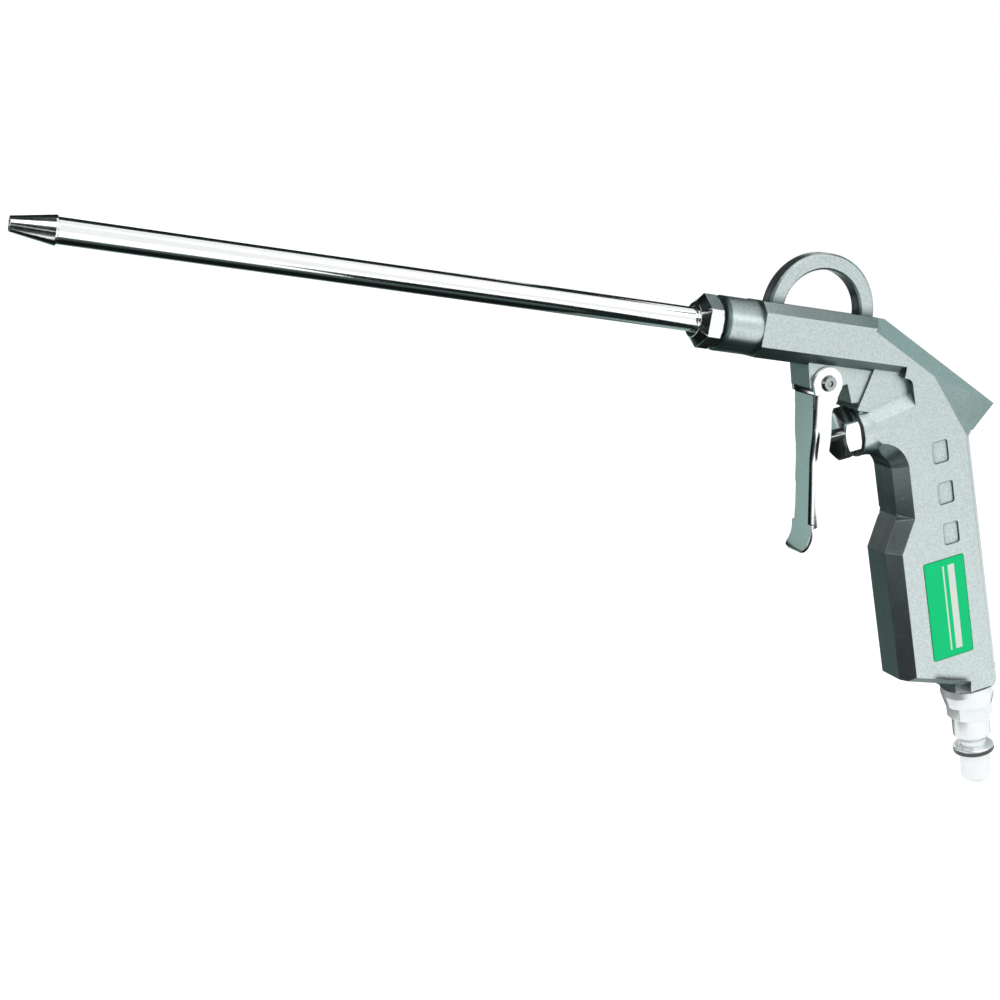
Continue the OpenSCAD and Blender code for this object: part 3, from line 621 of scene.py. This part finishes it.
@dataclass(frozen=True)
class Metal:
    """A plated, turned or drawn metal with fine marks, smears and bright edges.

    Marks is how deep the fine marks are, smear how much rougher the smears are, recess_shade
    the painted shade in recesses and shade_band where a painted dark band lies across the marks,
    in millimetres. Shades and the shade tint are tints of the colour, and the sizes after them are
    in metres.
    """

    colour: Colour
    roughness: float
    lay: Lay = Lay.NONE
    marks: float = 0.3
    metallic: float = 1.0
    smear: float = 0.05
    recess_shade: Optional[PaintedShade] = None
    shade_band: Optional[Pair] = None
    shades: Pair = (0.93, 1.04)
    shade_tint: float = 0.08
    edge: float = 0.00025
    line: float = 0.00012
    patch: float = 0.007
    speck: float = 0.0005
    relief: float = 0.000008

    def material(self, name: str) -> bpy.types.Material:
        """Fine marks as bump, smears in roughness, paler edges and painted shade in the colour."""
        s = Shader(name)
        run = s.vector("DOT_PRODUCT", s.place, self.lay.value, output=1)
        lines = s.noise(self.line, 2.0, 0.6, run)
        smears = s.noise(self.patch, 3.0, 0.6)
        specks = s.noise(self.speck)
        rounded = s.round_edges(self.edge)
        edges = s.edge_mask(rounded, 4.0)
        height = lines * self.marks + specks * 0.25
        tone = ((smears - 0.5) * 0.9 + 0.5 + edges * 0.4).clamped()
        dark, light = (tinted(self.colour, share) for share in self.shades)
        rough = self.roughness + (smears - 0.45).most(0.0) * self.smear * 3 + lines * 0.03
        colour = s.blend(tone, dark, light)
        # Painted shade: a darker tint of the colour, laid in recesses and in a band.
        shade_tint = tinted(self.colour, self.shade_tint)
        if self.recess_shade:
            colour = s.blend(self.recess_shade.in_recess(s), colour, shade_tint)
        # A band of painted shade across the marks, with ragged edges.
        if self.shade_band:
            first, last = (value * MM for value in self.shade_band)
            off = abs(run - (first + last) / 2) - (last - first) / 2
            ragged, soft = 0.8 * MM, 0.2 * MM
            shade_band_mask = (off + (smears - 0.5) * ragged).ramp(soft, -soft)
            colour = s.blend(shade_band_mask, colour, shade_tint)
        return s.finish(
            Base_Color=colour,
            Metallic=self.metallic,
            Roughness=rough,
            Normal=s.bump(height, self.relief, 0.5, rounded),
        )


@dataclass(frozen=True)
class Rubber:
    """Moulded black rubber with a dusty bloom."""

    colour: Colour = (0.016, 0.017, 0.018)
    bloom: Colour = (0.035, 0.037, 0.038)

    def material(self, name: str) -> bpy.types.Material:
        """A fine skin as bump and a pale bloom in patches."""
        s = Shader(name)
        skin = s.noise(0.0002)
        dust = s.noise(0.002, 3.0, 0.6).ramp(0.4, 0.75)
        return s.finish(
            Base_Color=s.blend(dust * 0.6, self.colour, self.bloom),
            Roughness=0.55 + dust * 0.2,
            Normal=s.bump(skin, 0.00002, 0.4, s.round_edges(0.0003)),
        )


@dataclass(frozen=True)
class PrintedFilm:
    """A satin printed film with two plain pale bars on a coloured ground.

    Sizes are in millimetres. Each bar has its middle, its half width and its half length.
    """

    ground: Colour = (0.0015, 0.77, 0.262)
    ink: Colour = (0.90, 0.93, 0.90)
    size: Pair = (16.4, 36.4)
    bar: Triple = (2.6, 1.3, 15.6)
    rule: Triple = (-0.6, 0.3, 15.6)

    def _bar(self, depth: Value, up: Value, bar: Triple) -> Value:
        """A straight bar: 1 where |depth - at| < half and |up| < reach, with soft edges."""
        at, half, reach = (value * MM for value in bar)
        soft = 0.05 * MM
        far = (abs(depth - at) - half).most(abs(up) - reach)
        return far.ramp(soft, -soft)

    def material(self, name: str) -> bpy.types.Material:
        """The ground, the bars, a darker rim that is partly wear and partly painted shade, and
        shallow creases as bump.
        """
        s = Shader(name)
        centre = tuple(value * MM for value in LAYOUT.in_grip(*LAYOUT.label_place))
        off = s.vector("SUBTRACT", s.place, centre)
        depth = s.vector("DOT_PRODUCT", off, LAYOUT.depth_way, output=1)
        up = s.vector("DOT_PRODUCT", off, LAYOUT.up_way, output=1)
        half_w, half_h = (value / 2 * MM for value in self.size)
        rim = (abs(depth) - half_w).most(abs(up) - half_h)
        ragged = rim + (s.noise(0.0012, 2.0, 0.6) - 0.5) * 0.0005
        # Darker rim: edge wear together with a painted shadow line round the film.
        worn = ragged.ramp(-0.00042, -0.00012)
        ink = self._bar(depth, up, self.bar).most(self._bar(depth, up, self.rule))
        tone = s.noise(0.006, 3.0, 0.6)
        ground = s.blend(tone, tinted(self.ground, 0.86), self.ground)
        printed = s.blend(ink * 0.96, ground, self.ink)
        creases = s.noise(0.011)
        return s.finish(
            Base_Color=s.blend(worn * 0.75, printed, tinted(self.ground, 0.25)),
            Roughness=0.45 + (tone - 0.5) * 0.1 + worn * 0.2,
            Specular_IOR_Level=0.2,
            Normal=s.bump(creases, 0.0002, 0.25),
        )


CHROME: Colour = (0.88, 0.905, 0.90)
ZINC: Colour = (0.92, 0.955, 0.975)
BRASS: Colour = (0.80, 0.62, 0.30)
STEEL: Colour = (0.62, 0.64, 0.65)
DARK_STEEL: Colour = (0.16, 0.17, 0.18)
PRESSED_STEEL: Colour = (0.84, 0.865, 0.85)
PIN_STEEL: Colour = (0.40, 0.43, 0.44)
# Painted shade in recesses, for small turned pieces.
RECESS_SHADE = PaintedShade(0.35, 0.75)


# --- pieces


def dress(node: str, finish: Finish) -> None:
    """Gives a carried-over node its finish.

    Args:
        node: the node's name.
        finish: what it is made of.
    """
    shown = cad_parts[node]
    material = finish.material(f"{node}_finish")
    if not shown.material_slots:
        shown.data.materials.append(material)
    for slot in shown.material_slots:
        slot.material = material
    LOG.info("dressed %s", node)


def stand_in(made: Piece, node: str, body: str, finish: Finish) -> None:
    """Dresses a new piece that takes the place of a node.

    Args:
        made: the new piece.
        node: the node that it replaces, which also names its material slot.
        body: the body that it rides on.
        finish: what it is made of.
    """
    made.data.materials.append(finish.material(f"{node}_finish"))
    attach(made, body)
    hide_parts(node)
    LOG.info("made %s with %d faces", made.name, len(made.data.polygons))


def circle_angles(count: int) -> np.ndarray:
    """Even angles round a full turn."""
    return np.linspace(0, 2 * math.pi, count, endpoint=False)


@dataclass(frozen=True)
class Turned:
    """A piece turned about an axis, fixed to the gun in the place of a node.

    Attributes:
        name: the piece's name.
        node: the node that it replaces.
        axis: the line that it goes round.
        finish: what it is made of.
        edge: how much of each side an eased corner takes, in millimetres.
        corners: its closed profile's corners as (station, radius).
        columns: how many points go round it, if it has no hexagon.
        steps: how many pieces each eased corner has.
        hexagon: the first and last station and the shape of a hexagonal stretch.
    """

    name: str
    node: str
    axis: Axis
    finish: Finish
    edge: float
    corners: tuple[Pair, ...]
    columns: int = NARROW_ROUND
    steps: int = 4
    hexagon: Optional[tuple[float, float, Hexagon]] = None

    def points(self) -> np.ndarray:
        """The surface: each point (s, r) of the eased profile goes round on a circle.

        In the hexagonal stretch the radius is min(r, hexagon(angle)), so a chamfered profile
        leaves the curved corners of a real nut.

        Returns:
            Points in an array of shape (profile, angles, 3), in millimetres.
        """
        profile = eased(self.corners, self.edge, self.steps)
        angles = self.hexagon[2].angles() if self.hexagon else circle_angles(self.columns)
        station = np.repeat(profile[:, :1], len(angles), axis=1)
        radius = np.repeat(profile[:, 1:], len(angles), axis=1)
        around = np.broadcast_to(angles, station.shape)
        if self.hexagon:
            first, last, bar = self.hexagon
            inside = (station >= first) & (station <= last)
            radius = np.where(inside, np.minimum(radius, bar.radius(around)), radius)
        return self.axis.place(station, radius, around)

    def build(self) -> None:
        """Makes and dresses the piece."""
        made = even_normals(make_solid(self.name, self.points(), wrap_rows=True))
        stand_in(made, self.node, "gun", self.finish)


@dataclass
class Nozzle:
    """The long tube, its tip, the hexagon nut and its seals. Stations run from the outlet."""

    nut: Hexagon = Hexagon(15.5, math.pi / 6)

    def build(self) -> None:
        """Makes each piece from its inner front corner outwards and back; dresses the rest."""
        axis, corner = LAYOUT.nozzle, self.nut.corner
        Turned("tube", "nozzle_tube", axis, Metal(CHROME, 0.07, Lay.NOZZLE, 0.25), 0.15, (
            (13.0, 4.0), (235.2, 4.0), (235.2, 3.0), (13.0, 3.0)), WIDE_ROUND).build()
        Turned("tip", "nozzle_tip", axis, Metal(CHROME, 0.10, Lay.NOZZLE), 0.22, (
            (0.0, 1.3), (0.0, 2.3), (12.5, 4.5), (13.0, 4.5),
            (13.0, 2.95), (19.0, 2.95), (19.0, 1.3)), WIDE_ROUND).build()
        Turned("nut", "nozzle_nut", axis, Metal(CHROME, 0.09, Lay.NOZZLE, 0.5), 0.2, (
            (215.8, 4.05), (215.8, 5.75), (218.4, corner), (222.6, corner),
            (223.2, corner - 0.9), (223.2, 5.95), (231.2, 5.95), (231.2, 4.05)),
            hexagon=(0.0, 223.21, self.nut)).build()
        Turned("nut_seal", "nut_ring", axis, Rubber(), 0.38, (
            (223.2, 6.0), (223.2, 7.75), (224.0, 7.75), (224.0, 6.0)), steps=6).build()
        dress("tube_ferrule", Metal(BRASS, 0.3, Lay.NOZZLE, 0.8))
        dress("nozzle_washer", Rubber())


@dataclass
class Plug:
    """The quick-connect plug under the grip. Stations run down from the inlet block's face."""

    bar: Hexagon = Hexagon(14.0)
    # Stations of a band of painted shade on the ring's lower part, in millimetres.
    shade_stations: Pair = (25.1, 27.4)

    def build(self) -> None:
        """The plug, with screw, flange, hexagon, shank, cone, neck, ring and nose; its washer."""
        axis, corner = LAYOUT.plug, self.bar.corner
        # The plated finish gets painted shade in its recesses and on the ring's lower part.
        plated = Metal(ZINC, 0.22, Lay.PLUG, metallic=0.5, smear=0.03, recess_shade=RECESS_SHADE,
                       shade_band=tuple(axis.offset + station for station in self.shade_stations))
        Turned("quick_plug", "inlet_plug", axis, plated, 0.28, (
            (-10.0, 3.5), (-10.0, 6.45), (0.6, 6.45), (0.6, 9.5), (3.2, 9.5), (8.0, 8.283),
            (8.0, corner), (12.4, corner), (13.0, corner - 0.9), (13.0, 6.65), (20.2, 6.65),
            (22.1, 4.85), (24.3, 4.85), (24.3, 6.8), (24.8, 7.3), (26.7, 7.3), (27.7, 5.4),
            (36.7, 5.4), (37.7, 4.4), (37.7, 3.5)), hexagon=(8.0, 13.0, self.bar)).build()
        Turned("plug_washer", "inlet_washer", axis, Rubber(), 0.25, (
            (0.0, 6.5), (0.0, 8.0), (0.6, 8.0), (0.6, 6.5))).build()


@dataclass
class Valve:
    """The push valve in the boss. Millimetres back from the boss's front face."""

    spring_r: float = 3.3
    wire_r: float = 0.4
    spring_start: float = 22.46
    spring_end: float = 36.98
    floor: float = 37.4
    turns: int = 6
    travel: float = 3.9
    turn_steps: int = 36
    wire_steps: int = 12

    def spring(self) -> np.ndarray:
        """A wire wound on a helix.

        The middle line is (spring_start + rise * t, spring_r, 2 pi turns t) in the valve's
        round coordinates, and the wire is a circle in the plane of its outward and its binormal.
        """
        t = np.linspace(0, 1, self.turns * self.turn_steps + 1)[:, None]
        angle = 2 * math.pi * self.turns * t
        rise = self.spring_end - self.spring_start
        lead = math.atan2(rise, 2 * math.pi * self.turns * self.spring_r)
        round_wire = circle_angles(self.wire_steps)[None, :]
        out = self.spring_r + self.wire_r * np.cos(round_wire)
        lift = self.wire_r * np.sin(round_wire)
        station = self.spring_start + rise * t + lift * math.cos(lead)
        turn = angle - lift * math.sin(lead) / self.spring_r
        radius = np.broadcast_to(out, station.shape)
        return LAYOUT.valve.place(station, radius, np.broadcast_to(turn, station.shape))

    def build(self) -> None:
        """Dresses the valve's nodes and makes the spring."""
        dress("valve_gland", Metal(CHROME, 0.1, Lay.VALVE, 0.5))
        dress("gland_washer", Metal(DARK_STEEL, 0.3, Lay.VALVE, 0.6))
        dress("valve_stem", Metal(CHROME, 0.15, Lay.VALVE, 0.6))
        dress("disc_nut", Metal(BRASS, 0.25, Lay.VALVE, 0.7))
        for seal in ("gland_o_ring", "stem_o_ring", "valve_disc"):
            dress(seal, Rubber())
        coil = even_normals(make_solid("return_spring", self.spring()))
        stand_in(coil, "valve_spring", "gun", Metal(STEEL, 0.25))
        valve = LAYOUT.valve
        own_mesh(coil)


@dataclass
class Trigger:
    """The pressed lever, its pin and the pin's clip.

    Places are in millimetres from the pivot, with x backwards and z up the lever. Lean,
    neck_turn and curl_turn are in degrees.
    """

    pivot: Pair = (265.6, -14.3)
    lean: float = 10.4
    sheet: float = 1.3
    bend_r: float = 2.6
    wall_x: float = -4.7
    wall_top: float = -4.1
    ear_r: float = 5.4
    ear_half: float = 7.9
    lever_half: float = 6.4
    narrowing: Pair = (-27.0, -15.0)
    taper: tuple[Pair, ...] = ((-0.9, -48.7), (1.5, -24.0), (1.5, -9.6))
    neck_turn: float = 35.0
    curl_start: float = -50.34
    curl_r: float = 10.0
    curl_turn: float = 50.0
    tongue_round: float = 2.2
    notch: Pair = (1.0, 4.0)
    hole_r: float = 2.05
    spare: float = 2.0
    ease: float = 0.2
    corner_edge: float = 1.6
    corner_steps: int = 6
    tongue_edge: float = 0.3
    slot_over: float = 1.0

    def place(self, x: np.ndarray, y: np.ndarray, z: np.ndarray) -> np.ndarray:
        """Points of the lever's frame in the gun's frame, turned by the lean about y."""
        lean = math.radians(self.lean)
        x, y, z = np.broadcast_arrays(x, y, z)
        return np.stack([self.pivot[0] + x * math.cos(lean) - z * math.sin(lean), y,
                         self.pivot[1] + x * math.sin(lean) + z * math.cos(lean)], -1)

    def channel(self) -> np.ndarray:
        """The bent sheet before it is cut out: a U whose half width and front vary with z.

        The outer side runs back to front, round a quarter circle of bend_r, across and back
        again, and the inner side is its offset by the sheet's thickness. The half width goes
        from lever_half to ear_half by a smooth step 3 t^2 - 2 t^3.
        """
        low, high = self.narrowing
        step = self.wall_top + self.ease
        z = np.concatenate([np.linspace(self.curl_start, low, 6), np.linspace(low, high, 14)[1:],
                            np.linspace(high, step, 6)[1:],
                            [step + self.ease, self.ear_r + self.spare]])[:, None]
        t = np.clip((z - low) / (high - low), 0, 1)
        half = self.lever_half + (self.ear_half - self.lever_half) * (3 * t**2 - 2 * t**3)
        front = np.where(z > step, self.wall_x - self.spare, self.wall_x)
        back = self.ear_r + self.spare
        a = np.linspace(0, math.pi / 2, 11)[None, :]
        sides = []
        for radius in (self.bend_r, self.bend_r - self.sheet):
            inset = self.bend_r - radius
            x = front + self.bend_r - radius * np.sin(a)
            y = -half + self.bend_r - radius * np.cos(a)
            x = np.hstack([np.full_like(z, back), x])
            y = np.hstack([-half + inset, y])
            sides.append((np.hstack([x, x[:, ::-1]]), np.hstack([y, -y[:, ::-1]])))
        (x_out, y_out), (x_in, y_in) = sides
        return self.place(np.hstack([x_out, x_in[:, ::-1]]),
                          np.hstack([y_out, y_in[:, ::-1]]), z)

    def across(self, outline: np.ndarray, first: float, last: float) -> np.ndarray:
        """An outline of (x, z) points carried straight across the lever."""
        y = np.array([[first], [last]])
        return self.place(outline[None, :, 0], y, outline[None, :, 1])

    def side_view(self) -> np.ndarray:
        """The ear's circle, the front edge and the tapered flange as one rounded outline."""
        a = np.radians(np.linspace(-self.neck_turn, 180, 50))
        ear = self.ear_r * np.stack([np.cos(a), np.sin(a)], 1)
        rest = eased([tuple(ear[-1]), (self.wall_x, self.wall_top), (self.wall_x, self.curl_start),
                      *self.taper, tuple(ear[0])], self.corner_edge, self.corner_steps)
        per_corner = self.corner_steps + 1
        return np.concatenate([ear, rest[per_corner:-per_corner]])

    def block(self, x: Pair, y: Pair, z: Pair) -> np.ndarray:
        """A block between two values of x, y and z."""
        corners = [(x[0], z[0]), (x[1], z[0]), (x[1], z[1]), (x[0], z[1])]
        return self.across(np.array(corners), *y)

    def tongue(self) -> np.ndarray:
        """The curled tip: a rounded strip carried down the wall and round a circle.

        Its half width near the end is lever_half - r + sqrt(r^2 - (r - left)^2), where r is
        tongue_round and left the length that is left, so that the tip's corners are round.
        """
        inner_r = self.curl_r - self.sheet
        turn = math.radians(self.curl_turn)
        down = np.linspace(self.spare, 0, 3)[:-1]
        bend = turn * (1 - np.linspace(1, 0, 25) ** 1.5)
        cos_a = np.concatenate([np.ones_like(down), np.cos(bend)])[:, None]
        sin_a = np.concatenate([np.zeros_like(down), np.sin(bend)])[:, None]
        rise = np.concatenate([down, np.zeros_like(bend)])[:, None]
        left = np.concatenate([down + turn * self.curl_r, (turn - bend) * self.curl_r])[:, None]
        r = self.tongue_round
        inset = r - np.sqrt(r**2 - np.maximum(r - left, 0) ** 2)
        half = self.lever_half
        strip = eased([(0, -half), (0, half), (self.sheet, half), (self.sheet, -half)],
                      self.tongue_edge)
        out, y = strip[None, :, 0], strip[None, :, 1]
        x = self.wall_x - inner_r + (inner_r + out) * cos_a
        z = self.curl_start + rise - (inner_r + out) * sin_a
        return self.place(x, y - np.sign(y) * inset, z)

    def lever(self) -> Piece:
        """The whole pressed lever: the channel cut out, with its tongue, slots and holes."""
        made = make_solid("pressed_trigger", self.channel())
        far = self.ear_half + self.spare
        combine(made, make_solid("view", self.across(self.side_view(), -far, far)), "INTERSECT")
        combine(made, make_solid("curl", self.tongue()), "UNION")
        inner, high = self.ear_half - self.sheet, self.ear_r + 2 * self.spare
        reach = (-self.ear_r - 2 * self.spare, self.ear_r + 2 * self.spare)
        combine(made, make_solid("gap", self.block(reach, (-inner, inner),
                                                   (self.wall_top, high))), "DIFFERENCE")
        wide, deep = self.notch
        wall = (reach[0], self.wall_x + self.bend_r)
        for side in (-1, 1):
            y = tuple(sorted((side * inner, side * (inner - wide))))
            slot = self.block(wall, y, (self.wall_top - deep, self.wall_top + self.slot_over))
            combine(made, make_solid("slot", slot), "DIFFERENCE")
        a = circle_angles(HOLE_ROUND)
        hole = self.hole_r * np.stack([np.cos(a), np.sin(a)], 1)
        combine(made, make_solid("hole", self.across(hole, -far, far)), "DIFFERENCE")
        return even_normals(made, SHARP_EDGE)

    def build(self) -> None:
        """Makes the lever and dresses its pin."""
        # The lever gets painted shade on its inner faces by the recess measure, and the pin in its
        # recesses.
        stand_in(self.lever(), "trigger_lever", "trigger",
                 Metal(PRESSED_STEEL, 0.1, Lay.TRIGGER, 0.35, recess_shade=PaintedShade(0.2, 0.5, reach=0.010)))
        dress("pivot_pin", Metal(PIN_STEEL, 0.2, Lay.TRIGGER, recess_shade=RECESS_SHADE))
        dress("pin_clip", Metal(DARK_STEEL, 0.35))


class Casting:
    """The die-cast body and the label on its grip."""

    def build(self) -> None:
        """Dresses the casting and the label."""
        dress("body_casting", DieCast())
        dress("grip_label", PrintedFilm())


# --- studio


@dataclass(frozen=True)
class Lamp:
    """A square soft lamp.

    Attributes:
        name: the lamp's name.
        place: where it hangs, in metres.
        side: its width in metres.
        power: its power in watts.
    """

    name: str
    place: Point
    side: float
    power: float


@dataclass(frozen=True)
class Flag:
    """A card that only reflections show, as a photographer sets to shape the light on metal.

    Attributes:
        name: the card's name.
        centre: its middle, in metres.
        half: half its sizes along x, y and z, in metres; the one that is 0 is its thickness.
        tone: how light the card is at its middle line.
        rim_tone: how light it is at the ends of its second side; by default as at the middle.
        turn: how far it is turned about z, in degrees.
    """

    name: str
    centre: Point
    half: Point
    tone: float = 0.02
    rim_tone: Optional[float] = None
    turn: float = 0.0

    def sides(self) -> tuple[np.ndarray, np.ndarray]:
        """Half of its first and second side as vectors."""
        spin = np.array(Matrix.Rotation(math.radians(self.turn), 3, "Z"))
        across, along = (side for side in np.diag(self.half) if side.any())
        return spin @ across, spin @ along


def make_sheet(name: str, centre: Sequence[float], across: Sequence[float],
               along: Sequence[float]) -> Piece:
    """A flat sheet whose corners are centre -+ across -+ along, in metres."""
    centre, across, along = (np.array(vector) for vector in (centre, across, along))
    corners = [tuple(centre + a * across + b * along)
               for a, b in ((-1, -1), (1, -1), (1, 1), (-1, 1))]
    mesh = bpy.data.meshes.new(name)
    mesh.from_pydata(corners, [], [(0, 1, 2, 3)])
    return linked(name, mesh)


@dataclass
class Studio:
    """Floor, soft lamps, cards, sky and camera."""

    target: Point = (0.27, 0.0, -0.06)
    floor_half: float = 9.0
    floor_colour: Colour = (0.80, 0.80, 0.80)
    floor_lift: float = 0.62
    ambient: float = 0.55
    lamps: tuple[Lamp, ...] = (
        Lamp("key", (-1.1, -1.4, 1.3), 1.8, 17.0),
        Lamp("fill", (1.4, -1.3, 1.6), 1.8, 9.0),
        Lamp("back", (0.6, 1.8, 1.3), 1.5, 5.0),
    )
    flags: tuple[Flag, ...] = (
        Flag("nozzle_card", (0.12, -0.05, -0.1512), (0.13, 0.08, 0.0)),
        Flag("nozzle_back_card", (0.12, 0.03, -0.1510), (0.13, 0.15, 0.0), 0.01, 0.15),
        Flag("bevel_card", (0.24, -0.16, -0.1511), (0.08, 0.18, 0.0)),
        Flag("grip_card", (0.14, 0.17, -0.1513), (0.19, 0.2, 0.0)),
        Flag("barrel_card", (0.42, 0.2, -0.1513), (0.09, 0.17, 0.0)),
        Flag("waist_card", (0.281, 0.0, -0.0715), (0.015, 0.063, 0.0), 0.07),
        Flag("grip_front_card", (0.285, 0.11, -0.15095), (0.045, 0.1, 0.0), 0.24),
        Flag("lever_card", (0.241, 0.03, -0.055), (0.0165, 0.0, 0.045), 0.6),
        Flag("ear_card", (0.2705, -0.0063, -0.0235), (0.0045, 0.0, 0.005)),
        Flag("rim_card", (0.235, 0.06, 0.07), (0.045, 0.0, 0.05)),
        Flag("loop_inner_card", (0.27, 0.016, 0.007), (0.005, 0.0, 0.004)),
        Flag("loop_wall_card", (-0.475, 1.26, 0.45), (0.525, 0.0, 0.3)),
        Flag("block_card", (0.339, -0.0125, -0.1158), (0.007, 0.0, 0.0038)),
        Flag("gland_card", (0.2712, 0.0148, -0.0455), (0.006, 0.0, 0.006)),
        Flag("nut_card", (0.2365, 0.0095, -0.028), (0.006, 0.008, 0.0)),
        Flag("wall_card", (0.95, 1.25, 0.27), (0.35, 0.0, 0.15)),
        Flag("side_card", (-0.45, -0.75, 0.135), (0.45255, 0.0, 0.285), turn=-45.0),
        Flag("high_left_card", (-0.48, -0.28, 0.422), (0.28, 0.34, 0.0)),
        Flag("right_card", (1.2, -0.37, 0.14), (0.0, 0.47, 0.28), 0.55),
        Flag("front_card", (-0.31, -0.22, -0.1512), (0.29, 0.52, 0.0), 0.02, 0.03),
        Flag("trigger_card", (0.03, 0.42, -0.1509), (0.17, 0.24, 0.0), 0.5),
        Flag("loop_card", (-0.36, 0.95, -0.1508), (0.36, 0.3, 0.0), 0.04),
        Flag("top_card", (1.0, 0.3, 0.42), (0.55, 0.65, 0.0), 0.3, 0.38),
        Flag("slope_card", (0.98, -0.02, 0.419), (0.22, 0.25, 0.0), 0.95),
        Flag("nozzle_top_card", (-0.22, 0.4, 0.42), (0.63, 0.35, 0.0), 0.01, 0.06),
        Flag("tip_top_card", (-0.25, -0.08, 0.421), (0.23, 0.13, 0.0)),
        Flag("tip_end_card", (-0.42, 1.25, 0.0), (0.52, 0.0, 0.145)),
    )
    card_core: float = 0.3
    card_tint: Colour = (0.70, 1.0, 0.96)
    camera_place: Point = (-0.05976, -0.52828, 0.02466)
    azimuth: float = -22.511
    elevation: float = 8.893
    roll: float = 9.027
    focal_px: float = 1826.9
    picture_px: float = 1000.0
    sensor: float = 36.0

    def floor(self) -> None:
        """A wide pale sheet at the level of the object's lowest point."""
        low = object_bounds()[0][2]
        half = self.floor_half
        made = make_sheet("floor", (0.0, 0.0, low), (half, 0.0, 0.0), (0.0, half, 0.0))
        shader = Shader("floor_paint")
        tone = shader.noise(0.4)
        pale = self.floor_colour
        made.data.materials.append(shader.finish(
            Base_Color=shader.blend(tone, tinted(pale, 0.99), pale),
            Roughness=0.9, Specular_IOR_Level=0.1,
            Emission_Color=shader.seen_rays() * self.floor_lift, Emission_Strength=1.0))
        made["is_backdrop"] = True

    def card(self, flag: Flag) -> None:
        """Hangs one card; its tone changes towards the ends of its second side."""
        across, along = flag.sides()
        made = make_sheet(flag.name, flag.centre, across, along)
        shader = Shader(f"{flag.name}_cloth")
        reach = float(np.linalg.norm(along))
        off = shader.vector("SUBTRACT", shader.place, flag.centre)
        aside = abs(shader.vector("DOT_PRODUCT", off, tuple(along / reach), output=1))
        rim_tone = flag.tone if flag.rim_tone is None else flag.rim_tone
        tone = aside.ramp(reach * self.card_core, reach, flag.tone, rim_tone)
        made.data.materials.append(shader.finish(
            Base_Color=shader.scaled(self.card_tint, tone), Roughness=1.0,
            Specular_IOR_Level=0.0))
        for ray in ("camera", "diffuse", "transmission", "shadow"):
            setattr(made, f"visible_{ray}", False)
        made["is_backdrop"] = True

    def lamp(self, lamp: Lamp) -> None:
        """Hangs one square lamp that faces the object."""
        data = bpy.data.lights.new(lamp.name, "AREA")
        data.shape, data.size, data.energy = "SQUARE", lamp.side, lamp.power
        made = linked(lamp.name, data)
        made.location = lamp.place
        toward = Vector(self.target) - Vector(lamp.place)
        made.rotation_euler = toward.to_track_quat("-Z", "Y").to_euler()

    def sky(self) -> None:
        """White where it is seen or reflected, and a plain ambient level elsewhere."""
        world = bpy.data.worlds.new("studio_sky")
        world.use_nodes = True
        nodes = Nodes(world.node_tree)
        background = nodes.tree.nodes["Background"]
        nodes.feed(background.inputs["Color"], (1.0, 1.0, 1.0))
        nodes.feed(background.inputs["Strength"],
                   nodes.seen_rays() * (1.0 - self.ambient) + self.ambient)
        bpy.context.scene.world = world

    def camera(self) -> None:
        """The photograph's view: a place, a direction with its roll, and a focal length."""
        a, e, roll = (math.radians(v) for v in (self.azimuth, self.elevation, self.roll))
        back = Vector((math.sin(a) * math.cos(e), -math.cos(a) * math.cos(e), math.sin(e)))
        level = Vector((math.cos(a), math.sin(a), 0.0))
        up = back.cross(level)
        right = level * math.cos(roll) + up * math.sin(roll)
        above = up * math.cos(roll) - level * math.sin(roll)
        data = bpy.data.cameras.new("view")
        data.sensor_width = self.sensor
        data.lens = self.focal_px / self.picture_px * self.sensor
        data.clip_start, data.clip_end = 0.01, 50.0
        made = linked("view", data)
        turn = Matrix((right, above, back)).transposed()
        made.matrix_world = Matrix.Translation(self.camera_place) @ turn.to_4x4()
        bpy.context.scene.camera = made

    def build(self) -> None:
        """Sets up the whole studio."""
        self.floor()
        for flag in self.flags:
            self.card(flag)
        for lamp in self.lamps:
            self.lamp(lamp)
        self.sky()
        self.camera()
        bpy.context.scene.view_settings.view_transform = "Standard"


def main() -> None:
    """Builds every part of the scene in order."""
    logging.basicConfig(level=logging.INFO, format="%(name)s: %(message)s")
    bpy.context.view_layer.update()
    for part in (Casting(), Nozzle(), Trigger(), Valve(), Plug(), Studio()):
        part.build()
        LOG.info("finished %s", type(part).__name__)


if __name__ == "__main__":
    main()
